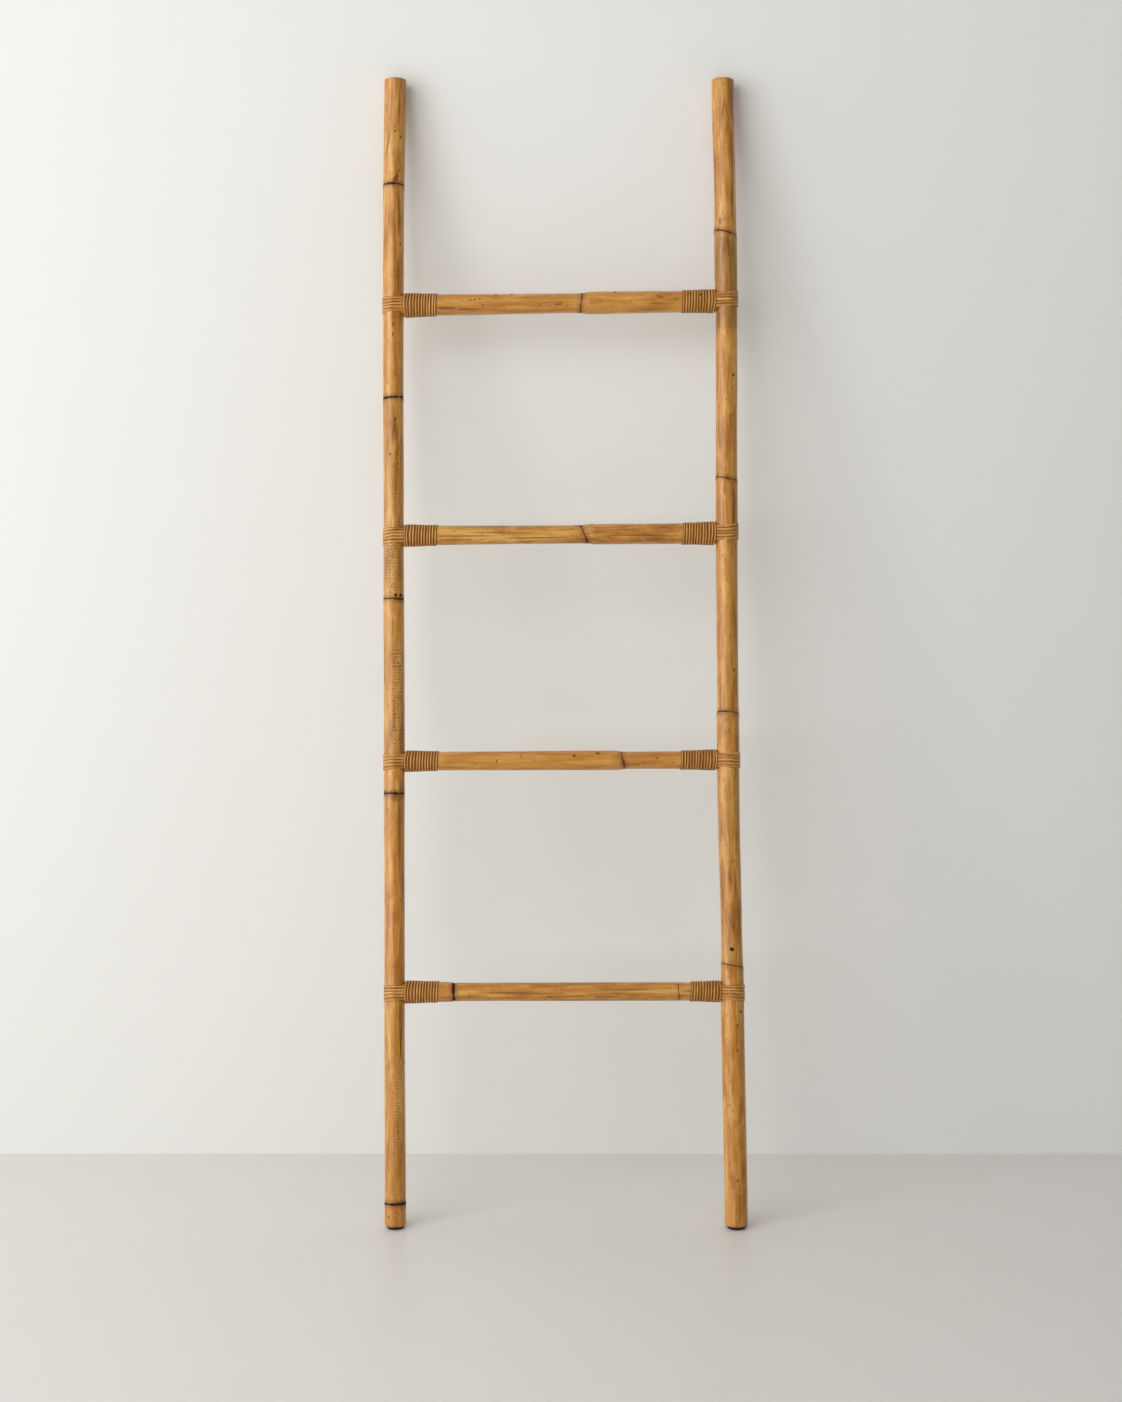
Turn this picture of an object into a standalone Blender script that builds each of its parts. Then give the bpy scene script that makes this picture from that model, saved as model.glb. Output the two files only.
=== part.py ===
"""A leaning blanket ladder of rattan: two poles, four rungs, and eight screwed and cane-bound joints.

Metres, +Z up. The ladder leans towards +Y, where the wall would be, and its front faces -Y. The origin is on
the floor under the middle of its outline.
"""

import math
from collections import namedtuple

import bmesh
import bpy
from mathutils import Matrix, Vector

# Overall sizes
POLE_LENGTH = 1.794  # along a pole, from the middle of its foot to its top
POLE_SPACING = 0.524  # between the poles' middles, before their own bends
LEAN = math.radians(10.4)  # from upright
PAD_THICKNESS = 0.004

# How round shapes are cut into flats
SIDES = 16
CUTTER_SIDES = 24
FLAT = math.cos(math.pi / SIDES)  # a flat's distance from the axis, as a share of its corner's
CUTTER_FLAT = math.cos(math.pi / CUTTER_SIDES)
TURNED_SIDES = 8  # screws and tacks
TURNED_FLAT = math.cos(math.pi / TURNED_SIDES)

# Fits
CLEARANCE = 0.00025  # between wound cane and what it lies on
SEAT_GAP = 0.0003  # between hard pieces

# Poles. Bends and swells are (share of the length, metres sideways) and (share of the length, metres of radius)
Pole = namedtuple("Pole", "name side radius bends swells nodes")
LEFT_POLE = Pole(
    name="left_stile",
    side=-1,
    radius=0.0163,
    bends=[(0.0, 0.0055), (0.2, 0.0033), (0.4, 0.0017), (0.6, -0.0003), (0.75, -0.0019), (0.87, -0.0022),
           (1.0, 0.0)],
    swells=[(0.0, 0.0003), (0.04, -0.0001), (0.28, -0.0005), (0.38, 0.0001), (0.54, 0.0), (0.61, -0.0004),
            (0.72, -0.0001), (0.86, 0.0003), (1.0, 0.0011)],
    nodes=[0.019, 0.372, 0.541, 0.718, 0.906],
)
RIGHT_POLE = Pole(
    name="right_stile",
    side=1,
    radius=0.0174,
    bends=[(0.0, 0.0094), (0.2, 0.0046), (0.4, -0.0010), (0.6, -0.0022), (0.78, -0.0014), (0.87, -0.0027),
           (1.0, -0.0061)],
    swells=[(0.0, 0.0005), (0.19, 0.0008), (0.25, -0.0010), (0.32, -0.0005), (0.42, 0.0004), (0.46, -0.0006),
            (0.57, -0.0005), (0.61, 0.0002), (0.67, -0.0006), (0.78, -0.0003), (0.85, 0.0008), (0.88, -0.0003),
            (1.0, 0.0003)],
    nodes=[0.223, 0.441, 0.647, 0.864],
)
POLE_STEPS = 10  # rings along a pole, besides those at its nodes
TOP_CHAMFER = 0.0010
FOOT_CHAMFER = 0.0025
FOOT_ALLOWANCE = 0.010  # spare length below the foot, which the level cut takes off
NODE_GROOVE = 0.0005  # depth of the scar line at a node
NODE_SCAR = 0.0010  # half its width
NODE_LEDGE = 0.0006  # how far the cane swells just below the line
NODE_REACH = 0.012  # how far the swelling runs

# Rungs, bottom to top: height of the middle along the poles, rise from left to right, radius at each end, and
# nodes as (share of the length, radius before it, radius after it)
Rung = namedtuple("Rung", "height rise left_radius right_radius nodes left_turns right_turns")
RUNGS = [
    Rung(0.3590, 0.0011, 0.0156, 0.0145, [(0.176, 0.0156, 0.0143), (0.841, 0.0145, 0.0142)], 12, 11),
    Rung(0.7184, 0.0023, 0.0145, 0.0141, [(0.685, 0.0153, 0.0135)], 12, 13),
    Rung(1.0728, 0.0039, 0.0154, 0.0162, [(0.572, 0.0142, 0.0160)], 12, 12),
    Rung(1.4383, 0.0074, 0.0169, 0.0163, [(0.565, 0.0154, 0.0177)], 12, 12),
]
RUNG_STEPS = 6
COPE_EAR = 0.0100  # from a pole's middle to where the coped rung starts, so that it hides under the strap

# Cane bindings
CANE_THICKNESS = 0.0008
CANE_PITCH = 0.0045  # width of one turn or strand
CANE_CROWN = 0.00025  # how far a strap strand's middle stands above its edges
CANE_GROOVE = 0.0006  # depth of the groove between two turns of a binding
STRAP_STRANDS = 5
STRAP_TUCK = 0.016  # length of a strap's leg under the binding
STRAP_EASE = 0.0015  # how far past the pole a strand first meets the rung
STRAP_ARC_STEPS = 10
STRAP_ARC_FLAT = math.cos(math.radians(240) / STRAP_ARC_STEPS / 2)  # as FLAT, for the longest way round
BINDING_STEP_LENGTH = 0.0010  # taper between the wide and the narrow bore

# Screws and tacks
SCREW_LENGTH = 0.060
SCREW_RADIUS = 0.0020
SCREW_HEAD_RADIUS = 0.0040
SCREW_HEAD_HEIGHT = 0.0026
SCREW_TIP = 0.0040
SCREW_SINK = 0.0010  # how far the head lies below the pole's surface
TACK_LENGTH = 0.0100
TACK_RADIUS = 0.0006
TACK_TIP = 0.0020
TACK_HEAD_RADIUS = 0.0014
TACK_HEAD_HEIGHT = 0.0005
TACK_TURN = 6  # the turn of the binding that it goes through, counted from the pole
TACK_AT_BACK = math.radians(90)
TACK_AT_FRONT = math.radians(-68)
# Foot pads
PAD_MARGIN = 0.0040  # how far the pad stays inside the pole's edge
PAD_EDGE = 0.0006
PAD_SIDES = 24

# Finishes: linear colour, roughness, metallic
FINISHES = {
    "pole": ((0.50, 0.25, 0.075), 0.38, 0.0),
    "rung": ((0.55, 0.29, 0.085), 0.38, 0.0),
    "cane": ((0.42, 0.18, 0.040), 0.42, 0.0),
    "screw": ((0.48, 0.47, 0.44), 0.35, 1.0),
    "tack": ((0.12, 0.08, 0.05), 0.45, 1.0),
    "pad": ((0.015, 0.014, 0.013), 0.85, 0.0),
}


# --- scene and shared helpers ---


def clear_scene():
    for obj in list(bpy.data.objects):
        bpy.data.objects.remove(obj, do_unlink=True)


def new_collection(name, rendered):
    collection = bpy.data.collections.new(name)
    collection.hide_render = not rendered
    bpy.context.scene.collection.children.link(collection)
    return collection


def finish(obj, slot):
    colour, roughness, metallic = FINISHES[slot]
    material = bpy.data.materials.new(f"{slot} of {obj.name}")
    material.use_nodes = True
    shader = material.node_tree.nodes["Principled BSDF"]
    shader.inputs["Base Color"].default_value = (*colour, 1.0)
    shader.inputs["Roughness"].default_value = roughness
    shader.inputs["Metallic"].default_value = metallic
    obj.data.materials.clear()
    obj.data.materials.append(material)


def smooth(obj):
    """Smooth shading, except over folds sharper than the step from one flat of a cane to the next."""
    obj.data.shade_smooth()
    obj.data.set_sharp_from_angle(angle=math.radians(360 / SIDES + 3))


def place(obj, collection, parent, matrix):
    collection.objects.link(obj)
    obj.parent = parent
    obj.matrix_basis = matrix


def as_cutter(obj):
    obj.hide_render = True
    obj.display_type = "WIRE"


def cut(obj, cutter):
    modifier = obj.modifiers.new(f"cut by {cutter.name}", "BOOLEAN")
    modifier.operation = "DIFFERENCE"
    modifier.solver = "EXACT"
    modifier.object = cutter


def frame_along_x(origin, along):
    """A frame whose X runs along the given direction, with Z kept as near to up as that allows."""
    x = along.normalized()
    y = Vector((0, 0, 1)).cross(x).normalized()
    return Matrix.Translation(origin) @ Matrix((x, y, x.cross(y))).transposed().to_4x4()


def frame_along_z(origin, up, toward):
    """A frame whose Z runs along up, with X as near to toward as that allows."""
    z = up.normalized()
    y = z.cross(toward).normalized()
    return Matrix.Translation(origin) @ Matrix((y.cross(z), y, z)).transposed().to_4x4()


def read_station(stations, share):
    """The value at a share of the length, eased between the stations on either side."""
    if share <= stations[0][0]:
        return stations[0][1]
    for (start, first), (end, last) in zip(stations, stations[1:]):
        if share <= end:
            t = (share - start) / (end - start)
            return first + (last - first) * t * t * (3 - 2 * t)
    return stations[-1][1]


def read_ring(rings, place):
    """The value between the two rings on either side, as the flat-sided cane itself has it."""
    if place <= rings[0][0]:
        return rings[0][1]
    for (start, first), (end, last) in zip(rings, rings[1:]):
        if place <= end:
            return first + (last - first) * (place - start) / (end - start)
    return rings[-1][1]


def turned(name, profile, sides):
    """A solid of revolution about Z. The profile is (radius, height) and runs down its outer side."""
    mesh = bpy.data.meshes.new(name)
    points = [(radius, 0, height) for radius, height in profile]
    closed = profile[0][0] > 0 and profile[-1][0] > 0
    edges = [(i, i + 1) for i in range(len(points) - 1)]
    if closed:
        edges.append((len(points) - 1, 0))
    mesh.from_pydata(points, edges, [])
    obj = bpy.data.objects.new(name, mesh)
    screw = obj.modifiers.new("turn", "SCREW")
    screw.axis = "Z"
    screw.steps = screw.render_steps = sides
    screw.use_merge_vertices = True
    screw.merge_threshold = 0.00001
    screw.use_normal_calculate = False
    return obj


def cane_mesh(name, points, radii):
    """A straight or gently bent cane: a poly curve with a radius at each point, made a mesh."""
    curve = bpy.data.curves.new(name, "CURVE")
    curve.dimensions = "3D"
    curve.bevel_depth = 1.0
    curve.bevel_resolution = (SIDES - 4) // 2
    curve.use_fill_caps = True
    spline = curve.splines.new("POLY")
    spline.points.add(len(points) - 1)
    for point, position, radius in zip(spline.points, points, radii):
        point.co = (*position, 1.0)
        point.radius = radius
    guide = bpy.data.objects.new(f"{name} guide", curve)
    bpy.context.scene.collection.objects.link(guide)
    evaluated = guide.evaluated_get(bpy.context.evaluated_depsgraph_get())
    mesh = bpy.data.meshes.new_from_object(evaluated)
    bpy.data.objects.remove(guide, do_unlink=True)
    mesh.name = name
    shell = bmesh.new()
    shell.from_mesh(mesh)
    bmesh.ops.remove_doubles(shell, verts=shell.verts, dist=0.00001)
    shell.to_mesh(mesh)
    shell.free()
    return mesh


# --- poles ---


def ring_heights(pole):
    """Heights of the pole's rings, from below its slanting foot cut up to its top chamfer."""
    start = -FOOT_ALLOWANCE - pole.radius * math.tan(LEAN)
    top = POLE_LENGTH - TOP_CHAMFER
    heights = [start] + [top * i / POLE_STEPS for i in range(1, POLE_STEPS + 1)]
    for node in pole.nodes:
        line = node * POLE_LENGTH
        heights += [line - NODE_REACH, line - NODE_SCAR, line, line + NODE_SCAR]
    return sorted(heights)


def ring_radius(pole, height):
    """The cane's own radius, with the scar line and the swelling below it at each node."""
    radius = pole.radius + read_station(pole.swells, height / POLE_LENGTH)
    for node in pole.nodes:
        below = node * POLE_LENGTH - height
        if abs(below) < NODE_SCAR / 2:
            radius -= NODE_GROOVE
        elif 0 < below < NODE_REACH:
            radius += NODE_LEDGE * (1 - below / NODE_REACH)
    return radius


def pole_radius(pole, height):
    return read_ring([(ring, ring_radius(pole, ring)) for ring in ring_heights(pole)], height)


def pole_centre(pole, height):
    bends = [(ring, read_station(pole.bends, ring / POLE_LENGTH)) for ring in ring_heights(pole)]
    return Vector((pole.side * POLE_SPACING / 2 + read_ring(bends, height), 0, height))


def pole_direction(pole, height):
    step = STRAP_STRANDS * CANE_PITCH / 2
    return (pole_centre(pole, height + step) - pole_centre(pole, height - step)).normalized()


def widest_pole(pole, height, reach):
    steps = 8
    return max(pole_radius(pole, height + reach * (i / steps * 2 - 1)) for i in range(steps + 1))


def ladder_joints():
    """(rung number, rung, pole) for each joint."""
    return [(i, rung, pole) for i, rung in enumerate(RUNGS, 1) for pole in (LEFT_POLE, RIGHT_POLE)]


def make_pole(pole, parts, plane):
    heights = ring_heights(pole)
    points = [pole_centre(pole, height) for height in heights]
    radii = [pole_radius(pole, height) for height in heights]
    points.append(pole_centre(pole, POLE_LENGTH))
    radii.append(radii[-1] - TOP_CHAMFER)
    obj = bpy.data.objects.new(pole.name, cane_mesh(pole.name, points, radii))
    place(obj, parts, plane, Matrix())
    finish(obj, "pole")
    smooth(obj)
    return obj


def foot_centre(pole, plane):
    return plane.matrix_basis @ pole_centre(pole, 0)


def make_foot_cutter(pole, cutters, plane):
    """A shallow dish that trims the foot level with the floor and chamfers its edge."""
    radius = pole_radius(pole, 0)
    rim = 0.02
    profile = [
        (0, 0),
        (radius - FOOT_CHAMFER, 0),
        (radius + rim, FOOT_CHAMFER + rim),
        (radius + rim, -rim * 2),
        (0, -rim * 2),
    ]
    cutter = turned(f"{pole.name} foot cutter", profile, CUTTER_SIDES)
    place(cutter, cutters, None, Matrix.Translation(foot_centre(pole, plane)))
    as_cutter(cutter)
    return cutter


def make_pad(pole, parts, plane):
    foot = foot_centre(pole, plane)
    mesh = bpy.data.meshes.new("pad")
    shell = bmesh.new()
    radius = pole_radius(pole, 0) - PAD_MARGIN
    bmesh.ops.create_cone(
        shell, cap_ends=True, segments=PAD_SIDES, radius1=radius, radius2=radius, depth=PAD_THICKNESS
    )
    shell.to_mesh(mesh)
    shell.free()
    obj = bpy.data.objects.new(pole.name.replace("stile", "foot_pad"), mesh)
    place(obj, parts, None, Matrix.Translation((foot.x, foot.y, PAD_THICKNESS / 2)))
    bevel = obj.modifiers.new("eased edges", "BEVEL")
    bevel.width = PAD_EDGE
    bevel.segments = 1
    finish(obj, "pad")
    smooth(obj)


# --- rungs ---


def rung_end(rung, pole):
    """The joint's middle: where the rung's axis meets the pole's."""
    return pole_centre(pole, rung.height + pole.side * rung.rise / 2)


def rung_rings(rung):
    """(share of the length, radius) of each of the rung's rings."""
    span = rung_span(rung)
    first, last = COPE_EAR / span, 1 - COPE_EAR / span
    scar = NODE_SCAR / span
    stations = [(0.0, rung.left_radius)]
    shares = [first + (last - first) * i / RUNG_STEPS for i in range(RUNG_STEPS + 1)]
    for node, before, after in rung.nodes:
        stations += [(node - scar, before), (node + scar, after)]
        shares = [share for share in shares if abs(share - node) > 4 * scar]
        shares += [node - 2 * scar, node - scar, node, node + scar, node + 2 * scar]
    stations.append((1.0, rung.right_radius))
    lines = [node for node, _, _ in rung.nodes]
    return [
        (share, read_station(stations, share) - (NODE_GROOVE if share in lines else 0))
        for share in sorted(shares)
    ]


def rung_inward(rung, pole):
    """The direction from this pole along the rung to the other pole."""
    other = RIGHT_POLE if pole is LEFT_POLE else LEFT_POLE
    return (rung_end(rung, other) - rung_end(rung, pole)).normalized()


def rung_span(rung):
    return (rung_end(rung, RIGHT_POLE) - rung_end(rung, LEFT_POLE)).length


def radius_from_joint(rung, pole, distance):
    share = distance / rung_span(rung)
    return read_ring(rung_rings(rung), share if pole is LEFT_POLE else 1 - share)


def widest_rung(rung, pole, start, end):
    steps = 6
    return max(radius_from_joint(rung, pole, start + (end - start) * i / steps) for i in range(steps + 1))


def make_rung(number, rung, parts, plane):
    left, right = rung_end(rung, LEFT_POLE), rung_end(rung, RIGHT_POLE)
    rings = rung_rings(rung)
    points = [left.lerp(right, share) for share, _ in rings]
    radii = [radius for _, radius in rings]
    obj = bpy.data.objects.new(f"rung_{number}", cane_mesh(f"rung_{number}", points, radii))
    place(obj, parts, plane, Matrix())
    finish(obj, "rung")
    smooth(obj)
    return obj


def make_cope_cutter(number, rung, pole, cutters, plane):
    """A cylinder along the pole, a seat gap wider than it, which hollows the rung's end to fit."""
    joint = rung_end(rung, pole)
    reach = widest_rung(rung, pole, 0, pole_radius(pole, joint.z)) + 0.01
    radius = (widest_pole(pole, joint.z, reach) + SEAT_GAP) / CUTTER_FLAT
    mesh = bpy.data.meshes.new("cope")
    shell = bmesh.new()
    bmesh.ops.create_cone(
        shell, cap_ends=True, segments=CUTTER_SIDES, radius1=radius, radius2=radius, depth=reach * 2
    )
    shell.to_mesh(mesh)
    shell.free()
    cutter = bpy.data.objects.new(f"rung_{number} {pole.name} cope cutter", mesh)
    inward = rung_inward(rung, pole)
    place(cutter, cutters, plane, frame_along_z(joint, pole_direction(pole, joint.z), inward))
    as_cutter(cutter)
    return cutter


# --- screws ---


def screw_head_distance(rung, pole):
    """From the joint's middle out to the top of the screw's head."""
    height = rung_end(rung, pole).z
    return widest_pole(pole, height, SCREW_HEAD_RADIUS) - SCREW_SINK


def screw_profile(gap):
    """The outline from the rim of the head down to the tip, with a gap round it for a hole."""
    shank = SCREW_RADIUS + gap
    return [
        (SCREW_HEAD_RADIUS + gap, 0),
        (shank, -SCREW_HEAD_HEIGHT),
        (shank, -SCREW_LENGTH + SCREW_TIP - gap),
        (0, -SCREW_LENGTH - gap),
    ]


def screw_frame(rung, pole):
    """The screw's frame: origin at the top of its head, pointing along -Z into the rung."""
    inward = rung_inward(rung, pole)
    origin = rung_end(rung, pole) - inward * screw_head_distance(rung, pole)
    return frame_along_x(origin, inward) @ Matrix.Rotation(math.radians(-90), 4, "Y")


def make_screw(number, rung, pole, parts, plane):
    obj = turned(f"screw_{number}_{side_name(pole)}", [(0, 0)] + screw_profile(0), TURNED_SIDES)
    place(obj, parts, plane, screw_frame(rung, pole))
    finish(obj, "screw")
    smooth(obj)


def make_screw_cutter(number, rung, pole, cutters, plane):
    outline = screw_profile(SEAT_GAP / TURNED_FLAT)
    above = SCREW_SINK * 4
    profile = [(0, above), (outline[0][0], above)] + outline
    cutter = turned(f"screw_{number}_{side_name(pole)} hole", profile, TURNED_SIDES)
    place(cutter, cutters, plane, screw_frame(rung, pole))
    as_cutter(cutter)
    return cutter


def side_name(pole):
    return "left" if pole is LEFT_POLE else "right"


# --- straps round the poles ---


def tangent_angle(x, y, radius):
    """Where a straight line from (x, y), which lies outside a circle at the origin, touches its front."""
    distance = math.hypot(x, y)
    return math.atan2(y, x) - math.acos(min(1.0, radius / distance))


def strand_path(pole_reach, rung_reach, height, ear, tip):
    """One strand's way round the pole, seen from above: up the rung's front, round, and back along it."""
    across = math.sqrt(max(rung_reach**2 - height**2, 0))
    meets = math.sqrt(max(pole_reach**2 - across**2, 0)) + STRAP_EASE
    land = max(meets, ear)
    angle = tangent_angle(land, -across, pole_reach)
    front = [(tip, -across), (land, -across)]
    sweep = -2 * math.pi - 2 * angle
    arc = []
    for i in range(STRAP_ARC_STEPS + 1):
        turn = angle + sweep * i / STRAP_ARC_STEPS
        arc.append((pole_reach * math.cos(turn), pole_reach * math.sin(turn)))
    back = [(x, -y) for x, y in reversed(front)]
    return front + arc + back


def strap_rows():
    """(height, lift) across the strap: low at each strand's edges and high at its middle."""
    width = STRAP_STRANDS * CANE_PITCH
    count = STRAP_STRANDS * 2
    return [(width * (i / count - 0.5), CANE_CROWN * (i % 2)) for i in range(count + 1)]


def make_strap(number, rung, pole, parts, plane):
    joint = rung_end(rung, pole)
    half_width = STRAP_STRANDS * CANE_PITCH / 2
    around_pole = (widest_pole(pole, joint.z, half_width) + CLEARANCE) / STRAP_ARC_FLAT
    tip = binding_start(rung, pole) + STRAP_TUCK
    around_rung = widest_rung(rung, pole, 0, tip) + CLEARANCE
    up, inward = pole_direction(pole, joint.z), rung_inward(rung, pole)
    frame = frame_along_z(joint, up, inward)
    local = frame.to_3x3().inverted() @ inward
    skew = local.z / local.x
    rows = []
    for height, lift in strap_rows():
        path = strand_path(around_pole + lift, around_rung + lift, height, COPE_EAR - 0.001, tip)
        rows.append([(x, y, height + skew * x) for x, y in path])
    columns = len(rows[0])
    faces = [
        (r * columns + c, (r + 1) * columns + c, (r + 1) * columns + c + 1, r * columns + c + 1)
        for r in range(len(rows) - 1)
        for c in range(columns - 1)
    ]
    name = f"strap_{number}_{side_name(pole)}"
    mesh = bpy.data.meshes.new(name)
    mesh.from_pydata([point for row in rows for point in row], [], faces)
    obj = bpy.data.objects.new(name, mesh)
    place(obj, parts, plane, frame)
    wall = obj.modifiers.new("cane thickness", "SOLIDIFY")
    wall.thickness = CANE_THICKNESS - CANE_CROWN
    wall.offset = 1
    finish(obj, "cane")
    smooth(obj)


# --- bindings round the rung ends ---


def binding_start(rung, pole):
    """From the joint's middle to the binding's first turn, just clear of the pole above and below the rung."""
    joint = rung_end(rung, pole)
    reach = (radius_from_joint(rung, pole, 0) + 2 * (CLEARANCE + CANE_THICKNESS)) / FLAT
    lean = 0.0
    for height in (joint.z - reach, joint.z + reach):
        lean = max(lean, (joint.x - pole_centre(pole, height).x) * pole.side)
    lean += abs(rung_inward(rung, pole).z) * reach
    return widest_pole(pole, joint.z, reach) + lean + SEAT_GAP


def binding_turns(rung, pole):
    return rung.left_turns if pole is LEFT_POLE else rung.right_turns


def binding_bores(rung, pole):
    """(wide bore over the strap's legs, narrow bore on the bare rung), measured to their corners."""
    start = binding_start(rung, pole)
    end = start + binding_turns(rung, pole) * CANE_PITCH
    legs = widest_rung(rung, pole, 0, start + STRAP_TUCK) + CLEARANCE + CANE_THICKNESS
    bare = widest_rung(rung, pole, start, end)
    return (legs + CLEARANCE) / FLAT, (bare + CLEARANCE) / FLAT


def crown_radius(rung, pole, share):
    """Outer radius over a strand's middle, which tapers from the strap's legs out to the bare rung."""
    wide, narrow = binding_bores(rung, pole)
    return wide + (narrow - wide) * share + CANE_THICKNESS


def make_binding(number, rung, pole, parts, plane):
    turns = binding_turns(rung, pole)
    length = turns * CANE_PITCH
    wide, narrow = binding_bores(rung, pole)
    step = STRAP_TUCK + CLEARANCE
    outer = []
    for i in range(turns * 2 + 1):
        share = i / (turns * 2)
        valley = 0 if i % 2 else CANE_GROOVE
        outer.append((crown_radius(rung, pole, share) - valley, length * share))
    inner = [(wide, 0), (wide, step), (narrow, step + BINDING_STEP_LENGTH), (narrow, length)]
    name = f"binding_{number}_{side_name(pole)}"
    obj = turned(name, list(reversed(outer)) + inner, SIDES)
    place(obj, parts, plane, binding_frame(rung, pole))
    finish(obj, "cane")
    smooth(obj)
    return obj


def binding_frame(rung, pole):
    """Z along the rung, away from the pole, from the binding's first turn."""
    inward = rung_inward(rung, pole)
    origin = rung_end(rung, pole) + inward * binding_start(rung, pole)
    return frame_along_x(origin, inward) @ Matrix.Rotation(math.radians(90), 4, "Y")


def tack_frame(number, rung, pole):
    """Origin on the strand's crown, with -Z pointing in to the rung's axis."""
    turns = binding_turns(rung, pole)
    share = (TACK_TURN - 0.5) / turns
    angle = TACK_AT_BACK
    if number == len(RUNGS) and pole is RIGHT_POLE:
        angle = TACK_AT_FRONT
    distance = binding_start(rung, pole) + turns * CANE_PITCH * share
    origin = rung_end(rung, pole) + rung_inward(rung, pole) * distance
    spin = Matrix.Rotation(-angle, 4, "X")
    out = Matrix.Translation((0, 0, crown_radius(rung, pole, share) + CLEARANCE))
    return Matrix.Translation(origin) @ spin @ out


def tack_shank(gap):
    """The outline of the shank below the head, with a gap round it for a hole."""
    return [
        (TACK_RADIUS + gap, -TACK_LENGTH + TACK_TIP - gap),
        (0, -TACK_LENGTH - gap),
    ]


def make_tack(number, rung, pole, parts, plane):
    rim = TACK_HEAD_RADIUS
    head = [(0, TACK_HEAD_HEIGHT), (rim, TACK_HEAD_HEIGHT), (rim, 0), (TACK_RADIUS, 0)]
    obj = turned(f"tack_{number}_{side_name(pole)}", head + tack_shank(0), TURNED_SIDES)
    place(obj, parts, plane, tack_frame(number, rung, pole))
    finish(obj, "tack")
    smooth(obj)


def make_tack_cutter(number, rung, pole, cutters, plane):
    gap = SEAT_GAP / TURNED_FLAT
    above = [(0, TACK_HEAD_HEIGHT), (TACK_RADIUS + gap, TACK_HEAD_HEIGHT)]
    cutter = turned(f"tack_{number}_{side_name(pole)} hole", above + tack_shank(gap), TURNED_SIDES)
    place(cutter, cutters, plane, tack_frame(number, rung, pole))
    as_cutter(cutter)
    return cutter


# --- the whole ladder ---


def make_plane(parts):
    """The leaning plane that holds the poles and rungs, its origin between the feet."""
    plane = bpy.data.objects.new("ladder plane", None)
    parts.objects.link(plane)
    middle = (LEFT_POLE.bends[0][1] + RIGHT_POLE.bends[0][1]) / 4
    depth = POLE_LENGTH * math.sin(LEAN) / 2
    plane.matrix_basis = Matrix.Translation((-middle, -depth, PAD_THICKNESS + SEAT_GAP)) @ Matrix.Rotation(
        -LEAN, 4, "X"
    )
    return plane


def main():
    clear_scene()
    parts = new_collection("Rattan blanket ladder", rendered=True)
    cutters = new_collection("Cutters", rendered=False)
    plane = make_plane(parts)
    poles = {}
    for pole in (LEFT_POLE, RIGHT_POLE):
        poles[pole.name] = make_pole(pole, parts, plane)
        cut(poles[pole.name], make_foot_cutter(pole, cutters, plane))
        make_pad(pole, parts, plane)
    rungs = [make_rung(number, rung, parts, plane) for number, rung in enumerate(RUNGS, 1)]
    for number, rung, pole in ladder_joints():
        obj = rungs[number - 1]
        cut(obj, make_cope_cutter(number, rung, pole, cutters, plane))
        hole = make_screw_cutter(number, rung, pole, cutters, plane)
        cut(poles[pole.name], hole)
        cut(obj, hole)
        make_screw(number, rung, pole, parts, plane)
        make_strap(number, rung, pole, parts, plane)
        binding = make_binding(number, rung, pole, parts, plane)
        pilot = make_tack_cutter(number, rung, pole, cutters, plane)
        cut(obj, pilot)
        cut(binding, pilot)
        make_tack(number, rung, pole, parts, plane)


main()
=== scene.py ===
"""How the leaning rattan blanket ladder looks: canes, cane bindings, pads, their finishes, the studio and the camera.

Metres, +Z up. Canes and strands are made straight, given their grain coordinates, and only then bent, wound and
leaned, so that the figure of the cane follows every bend.
"""

import logging
import math
from collections.abc import Callable, Sequence
from dataclasses import dataclass, field, replace
from enum import Enum

import bpy
from mathutils import Matrix, Vector, noise


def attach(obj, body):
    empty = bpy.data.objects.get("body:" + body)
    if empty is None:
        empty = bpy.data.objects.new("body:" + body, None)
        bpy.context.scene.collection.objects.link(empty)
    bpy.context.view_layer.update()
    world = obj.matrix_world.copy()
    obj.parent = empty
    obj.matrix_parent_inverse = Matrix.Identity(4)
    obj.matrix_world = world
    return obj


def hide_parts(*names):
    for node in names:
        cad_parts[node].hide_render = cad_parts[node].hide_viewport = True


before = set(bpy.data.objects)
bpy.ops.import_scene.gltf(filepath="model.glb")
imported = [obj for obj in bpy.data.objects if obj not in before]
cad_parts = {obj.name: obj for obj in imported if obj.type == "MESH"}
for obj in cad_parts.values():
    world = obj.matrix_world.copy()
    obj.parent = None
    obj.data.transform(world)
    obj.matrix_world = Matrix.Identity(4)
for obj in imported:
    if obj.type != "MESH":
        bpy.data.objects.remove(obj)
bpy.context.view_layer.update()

log = logging.getLogger("ladder")

LEAN = math.radians(10.4)  # from upright
POLE_LENGTH = 1.794
POLE_SPACING = 0.524
FLOOR_GAP = 0.0043  # from the floor to the cut foot of a pole: the pad and its seat
LADDER = Matrix.Translation((-0.003725, -0.16193, FLOOR_GAP)) @ Matrix.Rotation(-LEAN, 4, "X")
SEAT_GAP = 0.0003
CANE_GAP = 0.00010  # between wound cane and what it lies on
GRAIN = "grain"  # the attribute that keeps a point's place on the straight cane

Place = Callable[[Vector], Vector]
Route = Callable[[float], tuple[Vector, Vector]]
Stations = Sequence[tuple[float, float]]


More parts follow.
